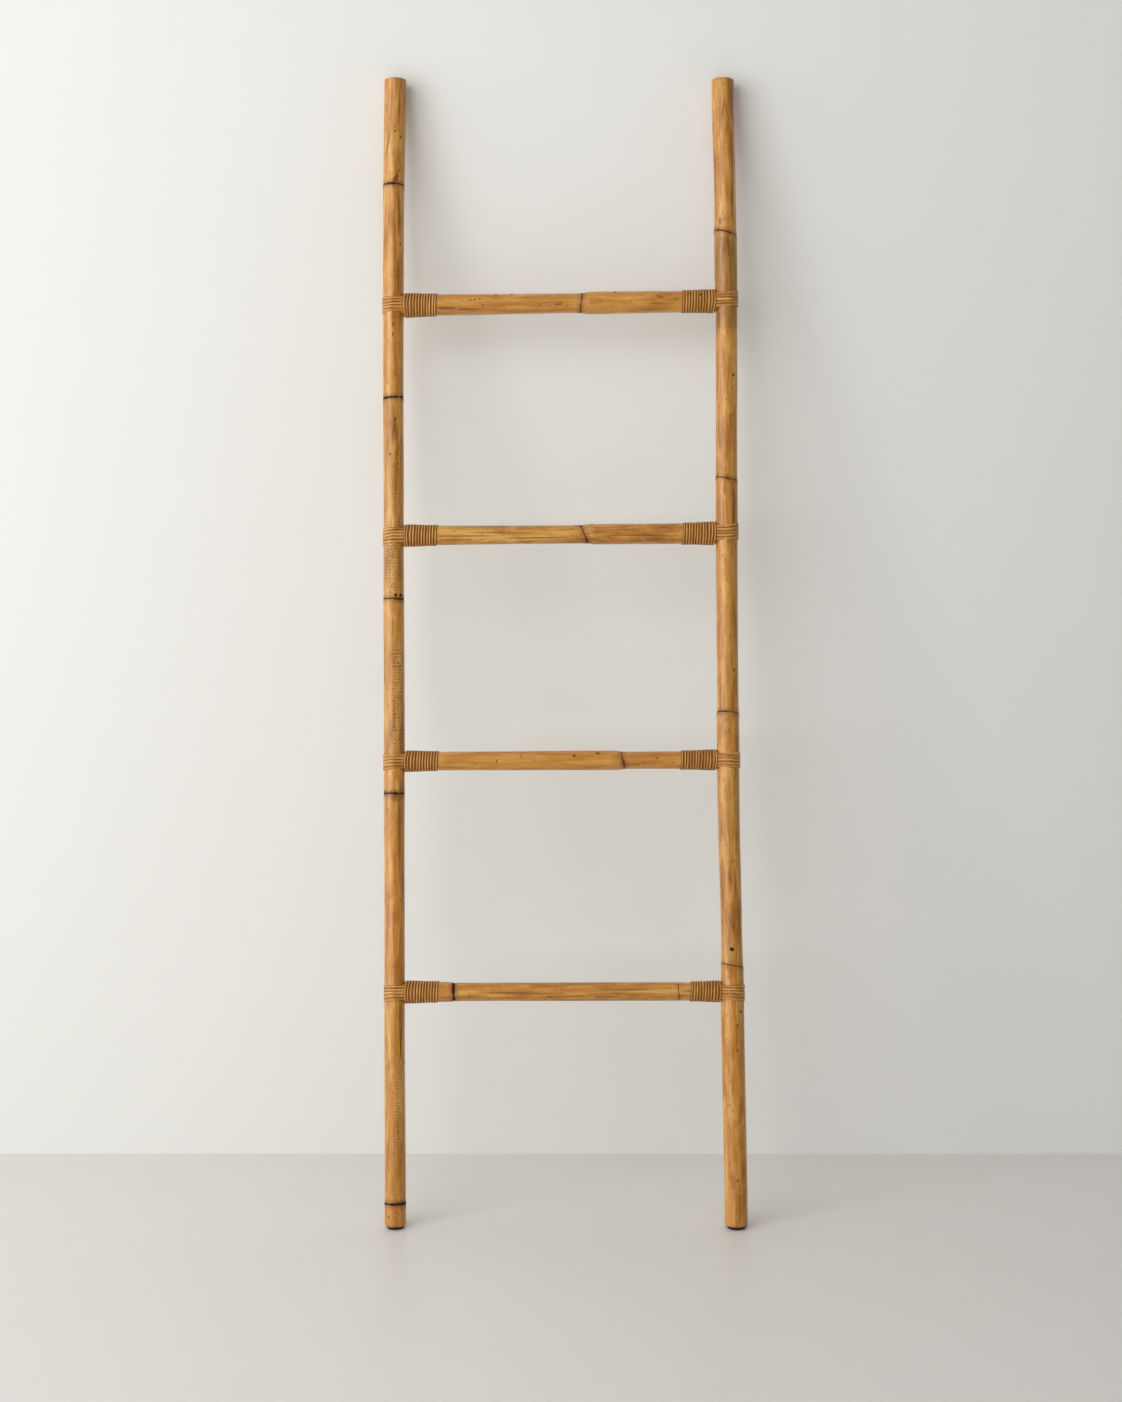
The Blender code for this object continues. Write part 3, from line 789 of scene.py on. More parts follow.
@dataclass
class Cane:
    """A length of rattan: made straight along Z, given its swellings and nodes, then bent."""

    name: str
    length: float
    finish: RattanFinish
    radii: Stations  # (share of the length, radius)
    nodes: Sequence[Node]
    bends: Stations = ((0.0, 0.0), (1.0, 0.0))  # (share of the length, metres to the right)
    cuts: Sequence[int] = (100, 3)
    sides: int = 48
    lumps: float = 0.00016
    below: float = 0.0  # spare length under the origin, which the foot cut takes off

    def radius(self, along: float) -> float:
        """The cane's own radius, without lumps."""
        return eased(self.radii, along / self.length)

    def shift(self, along: float) -> float:
        """How far the cane's middle stands to the right."""
        return eased(self.bends, along / self.length)

    def ring_places(self, count: int) -> list[float]:
        """Spaces rings along the cane, close together at its nodes.

        Args:
            count: how many rings there are.

        Returns:
            Their places, in order.
        """
        steps = 4000
        start, span = -self.below, self.length + self.below
        total, sums = 0.0, [0.0]
        for i in range(steps):
            along = start + span * (i + 0.5) / steps
            total += 1 + sum(16 / (1 + ((along - node.along) / 0.0035) ** 2) for node in self.nodes)
            sums.append(total)
        places, step = [], 0
        for i in range(count):
            wanted = total * i / (count - 1)
            while step < steps - 1 and sums[step + 1] < wanted:
                step += 1
            part = (wanted - sums[step]) / (sums[step + 1] - sums[step])
            places.append(start + span * (step + min(part, 1.0)) / steps)
        return places

    def skin(self, along: float, across: float, depth: float) -> float:
        """The radius at one point of the surface.

        Args:
            along: place along the cane.
            across: -1 to 1, to the right.
            depth: -1 to 1, to the back.

        Returns:
            The radius, with nodes, lumps and slight flats.
        """
        radius = self.radius(along)
        for node in self.nodes:
            under = node.along - along
            if 0 <= under < node.reach:
                radius += node.ledge * (1 - under / node.reach) ** 2
            elif -0.010 < under < 0:
                radius += 0.3 * node.ledge * (1 + under / 0.010) ** 2
            radius -= node.groove * math.exp(-((under / (node.line * 1.3)) ** 2))
        seed = self.finish.seed
        radius += self.lumps * noise.noise(Vector((across * 0.8, depth * 0.8, along * 10 + seed)))
        radius += self.lumps * 0.5 * noise.noise(Vector((across * 2.2 + seed, depth * 2.2, along * 32)))
        return radius

    def climb(self, along: float, across: float, depth: float) -> float:
        """How far the slant of the nearest node lines carries a point along the cane."""
        moved = 0.0
        for node in self.nodes:
            fade = math.exp(-(((along - node.along) / 0.022) ** 2))
            moved += (node.slope * across - node.bow * depth) * fade
        return moved

    def tube(self) -> bpy.types.Object:
        """Makes the cane as an open tube, shaped and bent.

        Returns:
            The tube.
        """
        obj = Bench.straight(self.name, self.sides, 1.0, 1.0, self.cuts)
        rings = math.prod(cut + 1 for cut in self.cuts)
        places = self.ring_places(rings + 1)

        def spread(point: Vector) -> Vector:
            """Puts a ring at its own place, at the cane's radius."""
            along = places[round(point.z * rings)]
            radius = self.radius(along)
            return Vector((point.x * radius, point.y * radius, along))

        def shape(point: Vector) -> Vector:
            """Gives a point its skin, its node's slant and its bend."""
            reach = math.hypot(point.x, point.y)
            across, depth = point.x / reach, point.y / reach
            radius = self.skin(point.z, across, depth)
            along = point.z + self.climb(point.z, across, depth)
            return Vector((across * radius + self.shift(along), depth * radius, along))

        Bench.mould(obj, spread)
        Bench.keep_grain(obj)
        Bench.mould(obj, shape)
        return obj


SAWN_RINGS = (0.004, 0.005)  # widths of the rings inside a sawn end
AT_TOP = 1e-5  # how near a point has to be to count as at the end of a cane
AT_CUT = 1e-6  # and to count as on a cut


def fill_end(obj: bpy.types.Object, rim: Callable[[Vector], bool], chamfer: float, slot: int) -> None:
    """Closes one open end of a tube, eases its rim and gives the sawn face its own finish.

    Args:
        obj: the tube.
        rim: says whether a point is on the end's rim.
        chamfer: how wide the eased edge is.
        slot: the material slot of the sawn face.
    """
    points = obj.data.vertices
    Bench.edit(obj, edges=lambda edge: all(rim(points[i].co) for i in edge.vertices))
    bpy.ops.mesh.edge_face_add()
    bpy.context.tool_settings.mesh_select_mode = (False, False, True)
    bpy.ops.mesh.select_mode(type="FACE")
    obj.active_material_index = slot
    bpy.ops.object.material_slot_assign()
    for width in SAWN_RINGS:
        bpy.ops.mesh.inset(thickness=width)
    Bench.done()
    Bench.edit(obj, edges=lambda edge: all(rim(points[i].co) for i in edge.vertices))
    bpy.ops.mesh.bevel(offset=chamfer, segments=3, affect="EDGES")
    Bench.done()


@dataclass
class Pole:
    """One of the two poles with its rubber pad."""

    side: Side
    base: float  # radius
    bends: Stations
    swells: Stations
    nodes: Sequence[Node]
    finish: RattanFinish
    pad_margin: float = 0.0040
    pad_height: float = 0.004
    pad_rings: tuple[float, float] = (0.0030, 0.0035)  # flat rings of the underside, from outside in
    pad_lip: float = 0.0006  # run of each slope between them
    pad_dish: float = 0.0008  # rise of each slope
    pad_ease: float = 0.0005
    chamfer: float = 0.0010
    foot_chamfer: float = 0.0025
    probe: float = 0.011  # half the stretch over which the direction is read
    below: float = 0.014  # extra cane under the foot, to be sawn off
    cane: Cane = field(init=False)

    def __post_init__(self) -> None:
        """Works out the cane that the pole is made of."""
        word = self.side.name.lower()
        middle = self.side.value * POLE_SPACING / 2
        self.cane = Cane(
            name=f"{word}_stile_cane", length=POLE_LENGTH, finish=self.finish, nodes=self.nodes,
            radii=[(share, self.base + swell) for share, swell in self.swells],
            bends=[(share, middle + bend) for share, bend in self.bends], below=self.below)

    def centre(self, along: float) -> Vector:
        """The middle of the pole at a height, on the ladder's own plane."""
        return Vector((self.cane.shift(along), 0, along))

    def direction(self, along: float) -> Vector:
        """The way the pole runs there."""
        return (self.centre(along + self.probe) - self.centre(along - self.probe)).normalized()

    def widest(self, along: float, reach: float) -> float:
        """The largest radius near a height."""
        return max(self.cane.radius(along + reach * i / 4) for i in range(-4, 5)) + self.cane.lumps

    def build(self, sawn: bpy.types.Material, rubber: bpy.types.Material) -> None:
        """Makes the pole and its pad.

        Args:
            sawn: the finish of the sawn ends.
            rubber: the finish of the pad.
        """
        obj = self.cane.tube()
        obj.data.materials.append(self.finish.make())
        obj.data.materials.append(sawn)
        fill_end(obj, lambda point: point.z > POLE_LENGTH - AT_TOP, self.chamfer, 1)
        Bench.place(obj, LADDER)
        self._trim_foot(obj)
        Bench.smooth(obj, 45)
        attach(obj, "root")
        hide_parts(f"{self.side.name.lower()}_stile")
        log.info("%s: %d faces", obj.name, len(obj.data.polygons))
        self._pad(rubber)

    def _trim_foot(self, obj: bpy.types.Object) -> None:
        """Saws the foot level with the floor, just over the pad, and eases its edge."""
        Bench.take(obj)
        bpy.ops.object.mode_set(mode="EDIT")
        bpy.ops.mesh.select_all(action="SELECT")
        bpy.ops.mesh.bisect(plane_co=(0, 0, FLOOR_GAP), plane_no=(0, 0, 1), clear_inner=True)
        Bench.done()
        fill_end(obj, lambda point: abs(point.z - FLOOR_GAP) < AT_CUT, self.foot_chamfer, 1)

    def _pad(self, rubber: bpy.types.Material) -> None:
        """Makes the rubber pad: a disc with eased edges, a dished underside and a raised rim."""
        foot = LADDER @ self.centre(0)
        radius = self.cane.radius(0) - self.pad_margin
        Bench.clear()
        bpy.ops.mesh.primitive_cylinder_add(vertices=64, radius=radius, depth=self.pad_height,
                                            location=(foot.x, foot.y, self.pad_height / 2))
        word = self.side.name.lower()
        obj = Bench.name(bpy.context.object, f"{word}_pad")
        bpy.ops.object.transform_apply(location=True, rotation=True, scale=True)
        Bench.edit(obj, faces=lambda face: face.normal.z < -0.9)
        for ring in self.pad_rings:
            bpy.ops.mesh.inset(thickness=ring)
            bpy.ops.mesh.inset(thickness=self.pad_lip)
            bpy.ops.transform.translate(value=(0, 0, self.pad_dish))
        Bench.done()
        Bench.take(obj)
        bevel = obj.modifiers.new("eased edges", "BEVEL")
        bevel.width, bevel.segments, bevel.limit_method = self.pad_ease, 3, "ANGLE"
        bpy.ops.object.modifier_apply(modifier=bevel.name)
        obj.data.materials.append(rubber)
        Bench.smooth(obj)
        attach(obj, "root")
        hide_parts(f"{word}_foot_pad")
        log.info("%s: %d faces", obj.name, len(obj.data.polygons))


@dataclass
class Rung:
    """One rung, coped to the poles at both ends."""

    number: int
    height: float
    rise: float
    left_radius: float
    right_radius: float
    steps: Sequence[tuple[float, float, float]]  # (share, radius before it, radius after it) at each node
    nodes: Sequence[Node]
    finish: RattanFinish
    turns: dict[Side, int]
    cope_ear: float = 0.0100
    cope_reach: float = 0.018  # how far up and down the pole its widest part is looked for
    cutter_depth: float = 0.07
    node_steps: tuple[float, float] = (0.004, 0.016)  # the short and the long side of the step at a node
    cane: Cane = field(init=False)
    ends: dict[Side, Vector] = field(init=False)

    def measure(self, poles: dict[Side, Pole]) -> None:
        """Takes the rung's ends and length off the poles.

        Args:
            poles: the two poles.
        """
        self.ends = {side: pole.centre(self.height + side.value * self.rise / 2) for side, pole in poles.items()}
        span = (self.ends[Side.RIGHT] - self.ends[Side.LEFT]).length
        radii = [(0.0, self.left_radius)]
        placed = []
        for (share, before, after), node in zip(self.steps, self.nodes):
            swell, fall = self.node_steps if after > before else self.node_steps[::-1]
            radii += [(share - swell / span, before), (share + fall / span, after)]
            placed.append(replace(node, along=share * span))
        radii.append((1.0, self.right_radius))
        self.finish = finish = replace(self.finish, nodes=placed)
        self.cane = Cane(name=f"rung_{self.number}_cane", length=span, finish=finish, radii=radii, nodes=placed,
                         cuts=(100, 1), below=-self.cope_ear)

    def inward(self, side: Side) -> Vector:
        """The direction from one pole to the other."""
        other = Side.RIGHT if side is Side.LEFT else Side.LEFT
        return (self.ends[other] - self.ends[side]).normalized()

    def radius_from(self, side: Side, distance: float) -> float:
        """The rung's radius at a distance from a pole's middle."""
        return self.cane.radius(distance if side is Side.LEFT else self.cane.length - distance)

    def widest(self, side: Side, start: float, end: float) -> float:
        """The largest radius between two distances from a pole's middle."""
        return max(self.radius_from(side, start + (end - start) * i / 6) for i in range(7)) + self.cane.lumps

    def build(self, poles: dict[Side, Pole]) -> None:
        """Makes the rung.

        Args:
            poles: the two poles, whose shape hollows its ends.
        """
        obj = self.cane.tube()
        for low in (True, False):
            limit = self.cope_ear + AT_TOP if low else self.cane.length - AT_TOP
            points = obj.data.vertices
            Bench.edit(obj, edges=lambda edge: all((points[i].co.z < limit) is low for i in edge.vertices)
                       and abs(points[edge.vertices[0]].co.z - points[edge.vertices[1]].co.z) < AT_CUT)
            bpy.ops.mesh.edge_face_add()
            Bench.done()
        start = self.ends[Side.LEFT]
        Bench.place(obj, frame_along(start, self.inward(Side.LEFT), Vector((0, 0, -1))))
        for side, pole in poles.items():
            middle = self.ends[side]
            gap = pole.widest(middle.z, self.cope_reach) + SEAT_GAP
            Bench.clear()
            bpy.ops.mesh.primitive_cylinder_add(vertices=64, radius=gap, depth=self.cutter_depth)
            cutter = bpy.context.object
            Bench.place(cutter, frame_along(middle, pole.direction(middle.z), Vector((1, 0, 0))))
            Bench.cut(obj, cutter)
        Bench.place(obj, LADDER)
        obj.data.materials.clear()
        obj.data.materials.append(self.finish.make())
        Bench.smooth(obj, 45)
        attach(obj, "root")
        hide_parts(f"rung_{self.number}")
        log.info("%s: %d faces", obj.name, len(obj.data.polygons))


# --- wound cane ---


@dataclass
class Strand:
    """A flat strip of cane, made straight once and copied for each length that is laid."""

    width: float = 0.0042
    thickness: float = 0.0010
    sides: int = 12
    squareness: float = 0.92
    crown: float = 1.15
    belly: float = 0.7

    def pattern(self, name: str, cuts: Sequence[int]) -> bpy.types.Object:
        """Makes a straight strip one metre long, flat below and crowned above.

        Args:
            name: its name.
            cuts: how often it is cut into rings, one number for each pass.

        Returns:
            The strip, to be copied.
        """
        obj = Bench.straight(name, self.sides, 0.5, 1.0, cuts, "NGON")

        def flatten(point: Vector) -> Vector:
            """Squares the section up a little and flattens its underside."""
            x, y = point.x * 2, point.y * 2
            x = math.copysign(abs(x) ** self.squareness, x)
            y = y * (self.crown if y > 0 else self.belly)
            return Vector((x * self.width / 2, y * self.thickness / 2, point.z))

        Bench.mould(obj, flatten)
        return obj

    @staticmethod
    def lay(pattern: bpy.types.Object, name: str, route: Route, shift: float, swell: float = 0.0,
            taper: float = 0.0) -> bpy.types.Object:
        """Copies a straight strip and lays it along a route.

        Args:
            pattern: the straight strip.
            name: the copy's name.
            route: gives the place and the outward direction at a share of the length.
            shift: moves the strip's figure along.
            swell: how much wider the strip is half way along, as a share of its width.
            taper: share of the length at each end over which the strip thins out.

        Returns:
            The laid strip.
        """
        obj = Bench.copy(pattern, name)
        reach = sum((route((i + 1) / 40)[0] - route(i / 40)[0]).length for i in range(40))
        Bench.mould(obj, lambda point: Vector((point.x, point.y, point.z * reach)))
        Bench.keep_grain(obj, shift)
        step = 0.0008
        frames: dict[float, tuple[Vector, Vector, Vector]] = {}

        def bend(point: Vector) -> Vector:
            """Carries a point of the straight strip to the route."""
            share = round(point.z / reach, 6)
            if share not in frames:
                low, high = max(share - step, 0.0), min(share + step, 1.0)
                middle, out = route(share)
                ahead = (route(high)[0] - route(low)[0]).normalized()
                out = (out - ahead * out.dot(ahead)).normalized()
                frames[share] = middle, out.cross(ahead), out
            middle, beside, out = frames[share]
            thin = min(1.0, 0.35 + 0.65 * min(share, 1 - share) / taper) if taper else 1.0
            wide = 1 + swell * math.sin(math.pi * share) ** 2
            return middle + beside * (point.x * thin * wide) + out * (point.y * thin)

        Bench.mould(obj, bend)
        return obj


@dataclass
class Joint:
    """Where a rung meets a pole: five strands round the pole, and the winding over their ends."""

    rung: Rung
    side: Side
    pole: Pole
    strand: Strand
    pitch: float = 0.0043
    pole_pitch: float = 0.0050  # from strand to strand on the pole, where they spread
    strap_tuck: float = 0.016
    strands: int = 5
    bow: float = 0.0024  # how far the first turn bulges towards the pole, in front and behind
    drift: float = 0.0  # how far up the strap slips on the pole's outer side
    wander: float = 0.00045  # how unevenly the turns lie

    @property
    def tag(self) -> str:
        """The joint's name, as the CAD nodes have it."""
        return f"{self.rung.number}_{self.side.name.lower()}"

    @property
    def middle(self) -> Vector:
        """Where the rung's middle line meets the pole's."""
        return self.rung.ends[self.side]

    @property
    def turns(self) -> int:
        """How many turns the winding has."""
        return self.rung.turns[self.side]

    @property
    def start(self) -> float:
        """From the pole's middle to the first turn, just clear of the pole over and under the rung."""
        reach = self.rung.radius_from(self.side, 0) + 2 * (CANE_GAP + self.strand.thickness)
        lean = max(abs(self.middle.x - self.pole.centre(self.middle.z + step).x) for step in (-reach, reach))
        lean += abs(self.rung.inward(self.side).z) * reach
        return self.pole.widest(self.middle.z, reach) + lean * 0.5 + SEAT_GAP

    def local(self) -> Matrix:
        """Z along the pole, X towards the other pole, from the joint's middle."""
        return frame_along(self.middle, self.pole.direction(self.middle.z), self.rung.inward(self.side))

    def leg_height(self) -> float:
        """The middle of the strap's strands where they lie on the rung, from its middle line."""
        tip = self.start + self.strap_tuck
        return self.rung.widest(self.side, 0, tip) + CANE_GAP + self.strand.thickness * 0.4

    def build_strap(self, pattern: bpy.types.Object, cane: bpy.types.Material) -> None:
        """Lays the strands round the pole.

        Args:
            pattern: a straight strip.
            cane: its finish.
        """
        half = self.strands // 2
        laid = []
        for k in range(self.strands):
            row = k - half
            name = f"strap_{self.tag}_strand_{k + 1}"
            route = self._strap_route(row)
            laid.append(Strand.lay(pattern, name, route, shift=k * 1.37 + self.middle.z * 9, swell=0.19))
        obj = Bench.join(laid, f"strap_{self.tag}_cane")
        self._dress(obj, self.local(), f"strap_{self.tag}", cane)

    def _strap_route(self, row: int) -> Route:
        """The way of one strand: along the rung's front, round the pole's outer side and back.

        Args:
            row: how many strands over the middle one it lies.

        Returns:
            The route, in the joint's own frame.
        """
        inward = self.local().to_3x3().inverted() @ self.rung.inward(self.side)
        skew = inward.z / inward.x
        leg = self.leg_height()
        hug = self.pole.widest(self.middle.z, 0.012) + CANE_GAP + self.strand.thickness * 0.42
        angle = row * 0.0051 / leg
        front, up = -leg * math.cos(angle), leg * math.sin(angle)
        tip = self.start + self.strap_tuck
        first = math.atan2(front, self.start) - math.acos(min(1.0, hug / math.hypot(self.start, front)))
        sweep = -2 * math.pi - 2 * first
        on_pole = row * self.pole_pitch
        points: list[tuple[Vector, Vector]] = []
        rung_out = Vector((0, -math.cos(angle), math.sin(angle)))
        for i in range(5):
            x = tip + (self.start - tip) * i / 4
            points.append((Vector((x, front, up + skew * x)), rung_out))
        for i in range(41):
            turn = first + sweep * i / 40
            part = min(i, 40 - i) / 10
            blend = min(1.0, part) ** 2 * (3 - 2 * min(1.0, part))
            height = up + (on_pole - up) * blend + self.drift * (1 - math.cos(math.pi * min(i, 40 - i) / 20)) / 2
            pole_out = Vector((math.cos(turn), math.sin(turn), 0))
            near = rung_out if i <= 20 else Vector((0, -rung_out.y, rung_out.z))
            place = Vector((hug * math.cos(turn), hug * math.sin(turn), height + skew * hug * math.cos(turn)))
            points.append((place, near.lerp(pole_out, blend ** 0.5).normalized()))
        for i in range(5):
            x = self.start + (tip - self.start) * i / 4
            points.append((Vector((x, -front, up + skew * x)), Vector((0, -rung_out.y, rung_out.z))))
        waver = 0.00025

        def route(share: float) -> tuple[Vector, Vector]:
            """Reads the way at a share of its length."""
            place = share * (len(points) - 1)
            i = min(int(place), len(points) - 2)
            part = place - i
            (a, up_a), (b, up_b) = points[i], points[i + 1]
            point = a.lerp(b, part)
            point.z += waver * noise.noise(Vector((share * 6, row * 3.3, self.middle.z * 7)))
            return point, up_a.lerp(up_b, part).normalized()

        return route

    def build_binding(self, pattern: bpy.types.Object, cane: bpy.types.Material) -> None:
        """Winds the strand round the rung over the strap's ends.

        Args:
            pattern: a straight strip, long in rings.
            cane: its finish.
        """
        legs = self.rung.widest(self.side, 0, self.start + self.strap_tuck) + 2 * CANE_GAP + self.strand.thickness
        length = self.turns * self.pitch
        bare = self.rung.widest(self.side, self.start, self.start + length) + CANE_GAP
        seed = self.middle.z * 31 + self.side.value
        half = self.strand.thickness / 2
        whole = self.turns

        def route(share: float) -> tuple[Vector, Vector]:
            """The place on the winding: Z along the rung from the first turn, Y to the back."""
            turn = share * whole
            angle = math.pi * (0.5 - 2 * turn)
            over = min(1.0, max(0.0, (turn * self.pitch - 0.5 * self.strap_tuck) / (length * 0.6)))
            radius = legs + (bare - legs) * over * over * (3 - 2 * over) + half
            radius += 0.00012 * noise.noise(Vector((turn * 2.1, seed, 0)))
            across, depth = math.cos(angle), math.sin(angle)
            axial = self.pitch * (turn + 0.30 * math.exp(-((turn / 0.6) ** 2)))
            axial -= self.bow * depth * depth * math.exp(-((turn / 2.4) ** 2))
            axial += self.wander * noise.noise(Vector((turn * 1.3, seed, 5)))
            out = Vector((across, depth, 0))
            return Vector((radius * across, radius * depth, axial)), out

        obj = Strand.lay(pattern, f"binding_{self.tag}_cane", route, shift=seed, taper=0.012)
        origin = self.middle + self.rung.inward(self.side) * self.start
        placed = frame_along(origin, self.rung.inward(self.side), Vector((0, 0, self.side.value)))
        self._dress(obj, placed, f"binding_{self.tag}", cane)

    def tack_frame(self, turn: float, angle: float) -> Matrix:
        """Where a tack's head lies on the winding, with Z outwards.

        Args:
            turn: which turn it goes through, counted from the pole.
            angle: how far round from the top it is, in radians, the front being negative.

        Returns:
            The frame on the ladder's plane.
        """
        legs = self.rung.widest(self.side, 0, self.start + self.strap_tuck) + 2 * CANE_GAP + self.strand.thickness
        bare = self.rung.widest(self.side, self.start, self.start + self.turns * self.pitch) + CANE_GAP
        over = min(1.0, max(0.0, (turn * self.pitch - 0.5 * self.strap_tuck) / (self.turns * self.pitch * 0.6)))
        radius = legs + (bare - legs) * over * over * (3 - 2 * over) + self.strand.thickness
        place = self.middle + self.rung.inward(self.side) * (self.start + turn * self.pitch)
        return Matrix.Translation(place) @ Matrix.Rotation(-angle, 4, "X") @ Matrix.Translation((0, 0, radius))

    @staticmethod
    def _dress(obj: bpy.types.Object, placed: Matrix, node: str, cane: bpy.types.Material) -> None:
        """Puts a wound piece in its place on the ladder and gives it its finish."""
        Bench.place(obj, LADDER @ placed)
        obj.data.materials.clear()
        obj.data.materials.append(cane)
        Bench.smooth(obj, 60)
        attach(obj, "root")
        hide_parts(node)
        log.info("%s: %d faces", obj.name, len(obj.data.polygons))


@dataclass
class Tacks:
    """The tacks that hold the windings: one modelled, the rest copied."""

    radius: float = 0.0015
    head: float = 0.0006
    shank: float = 0.0006
    length: float = 0.0085

    def pattern(self) -> bpy.types.Object:
        """Makes a tack with its head's underside on the origin, pointing down.

        Returns:
            The tack, to be copied.
        """
        Bench.clear()
        bpy.ops.mesh.primitive_cylinder_add(vertices=20, radius=self.radius, depth=self.head,
                                            location=(0, 0, self.head / 2))
        obj = Bench.name(bpy.context.object, "tack_pattern")
        bpy.ops.object.transform_apply(location=True, rotation=True, scale=True)
        Bench.edit(obj, faces=lambda face: face.normal.z < -0.9)
        bpy.ops.mesh.inset(thickness=self.radius - self.shank)
        bpy.ops.mesh.extrude_region_move(TRANSFORM_OT_translate={"value": (0, 0, 0.002 - self.length)})
        bpy.ops.mesh.extrude_region_move(TRANSFORM_OT_translate={"value": (0, 0, -0.002)})
        bpy.ops.transform.resize(value=(0.15, 0.15, 1.0))
        Bench.done()
        Bench.edit(obj, faces=lambda face: face.normal.z > 0.9)
        bpy.ops.mesh.inset(thickness=self.radius * 0.45)
        bpy.ops.transform.translate(value=(0, 0, self.head * 0.5))
        Bench.done()
        Bench.take(obj)
        bevel = obj.modifiers.new("eased edges", "BEVEL")
        bevel.width, bevel.segments, bevel.limit_method = 0.00012, 2, "ANGLE"
        bpy.ops.object.modifier_apply(modifier=bevel.name)
        return obj

    def build(self, joints: Sequence[Joint], steel: bpy.types.Material) -> None:
        """Sets one tack in each winding: at the back, except the top right one.

        Args:
            joints: the joints.
            steel: the tacks' finish.
        """
        pattern = self.pattern()
        for joint in joints:
            shown = joint.rung.number == 4 and joint.side is Side.RIGHT
            angle = math.radians(-68 if shown else 90)
            obj = Bench.copy(pattern, f"tack_{joint.tag}_steel")
            Bench.place(obj, LADDER @ joint.tack_frame(5.5 if shown else 5.0, angle))
            obj.data.materials.clear()
            obj.data.materials.append(steel)
            Bench.smooth(obj)
            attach(obj, "root")
            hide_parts(f"tack_{joint.tag}")
            log.info("%s: %d faces", obj.name, len(obj.data.polygons))
        Bench.discard(pattern)


# --- the studio ---


@dataclass
class Studio:
    """A pale floor and wall, two soft window lights from the left, a weak ceiling light and the camera."""

    wall_at: float = 0.1815
    key_power: float = 162.0
    key_size: float = 4.4
    key_place: Vector = field(default_factory=lambda: Vector((-3.0, -3.6, 2.5)))
    key_aim: Vector = field(default_factory=lambda: Vector((0.0, 0.0, 0.6)))
    side_power: float = 44.0
    side_size: float = 2.8
    side_place: Vector = field(default_factory=lambda: Vector((-4.1, -1.8, 1.5)))
    top_power: float = 11.0
    top_size: float = 2.6
    top_place: Vector = field(default_factory=lambda: Vector((0.3, -1.9, 4.0)))
    world: float = 0.23

    def build(self) -> None:
        """Makes the stage, the lights and the camera."""
        self._plane("floor", (0, -2.0, 0), 0.0, PlasterFinish(
            "pale floor", (0.80, 0.79, 0.765), (0.765, 0.755, 0.73), 0.34, 0.35))
        self._plane("wall", (0, self.wall_at, 2.0), math.radians(90), PlasterFinish(
            "pale wall", (0.84, 0.84, 0.815), (0.82, 0.82, 0.795), 0.8, 0.2, one_sided=True))
        self._light("window", self.key_place, self.key_aim, self.key_size, self.key_power, (1.0, 1.0, 0.985))
        self._light("side window", self.side_place, self.key_aim, self.side_size, self.side_power, (1.0, 1.0, 1.0))
        self._light("ceiling", self.top_place, self.key_aim, self.top_size, self.top_power, (1.0, 0.99, 0.96))
        world = bpy.data.worlds.new("studio")
        bpy.context.scene.world = world
        world.use_nodes = True
        background = world.node_tree.nodes["Background"]
        background.inputs["Color"].default_value = (1.0, 0.975, 0.93, 1.0)
        background.inputs["Strength"].default_value = self.world
        bpy.context.scene.view_settings.view_transform = "Standard"
        self._camera()
        log.info("studio: floor, wall, window light and camera")

    def _plane(self, name: str, place: tuple[float, float, float], turn: float, finish: PlasterFinish) -> None:
        """Adds a wide flat sheet to stand or hang behind the ladder."""
        Bench.clear()
        bpy.ops.mesh.primitive_plane_add(size=12, location=place, rotation=(turn, 0, 0))
        obj = Bench.name(bpy.context.object, name)
        bpy.ops.object.transform_apply(location=True, rotation=True, scale=True)
        obj.data.materials.append(finish.make())

    def _light(self, name: str, place: Vector, aim: Vector, size: float, power: float, colour: Colour) -> None:
        """Adds a square soft light."""
        Bench.clear()
        turn = (aim - place).to_track_quat("-Z", "Y").to_euler()
        bpy.ops.object.light_add(type="AREA", location=place, rotation=turn)
        lamp = bpy.context.object
        lamp.name = name
        lamp.data.shape, lamp.data.size, lamp.data.energy, lamp.data.color = "SQUARE", size, power, colour
        lamp.visible_camera = False

    def _camera(self) -> None:
        """Adds the camera, level with the top of the ladder's third bay and tipped a little down."""
        Bench.clear()
        bpy.ops.object.camera_add(location=(-0.0037, -3.612, 1.305), rotation=(math.radians(82.045), 0, 0))
        camera = bpy.context.object
        camera.data.lens = 59.64
        camera.data.sensor_width = 36
        camera.data.dof.use_dof = False
        bpy.context.scene.camera = camera


# --- this ladder ---


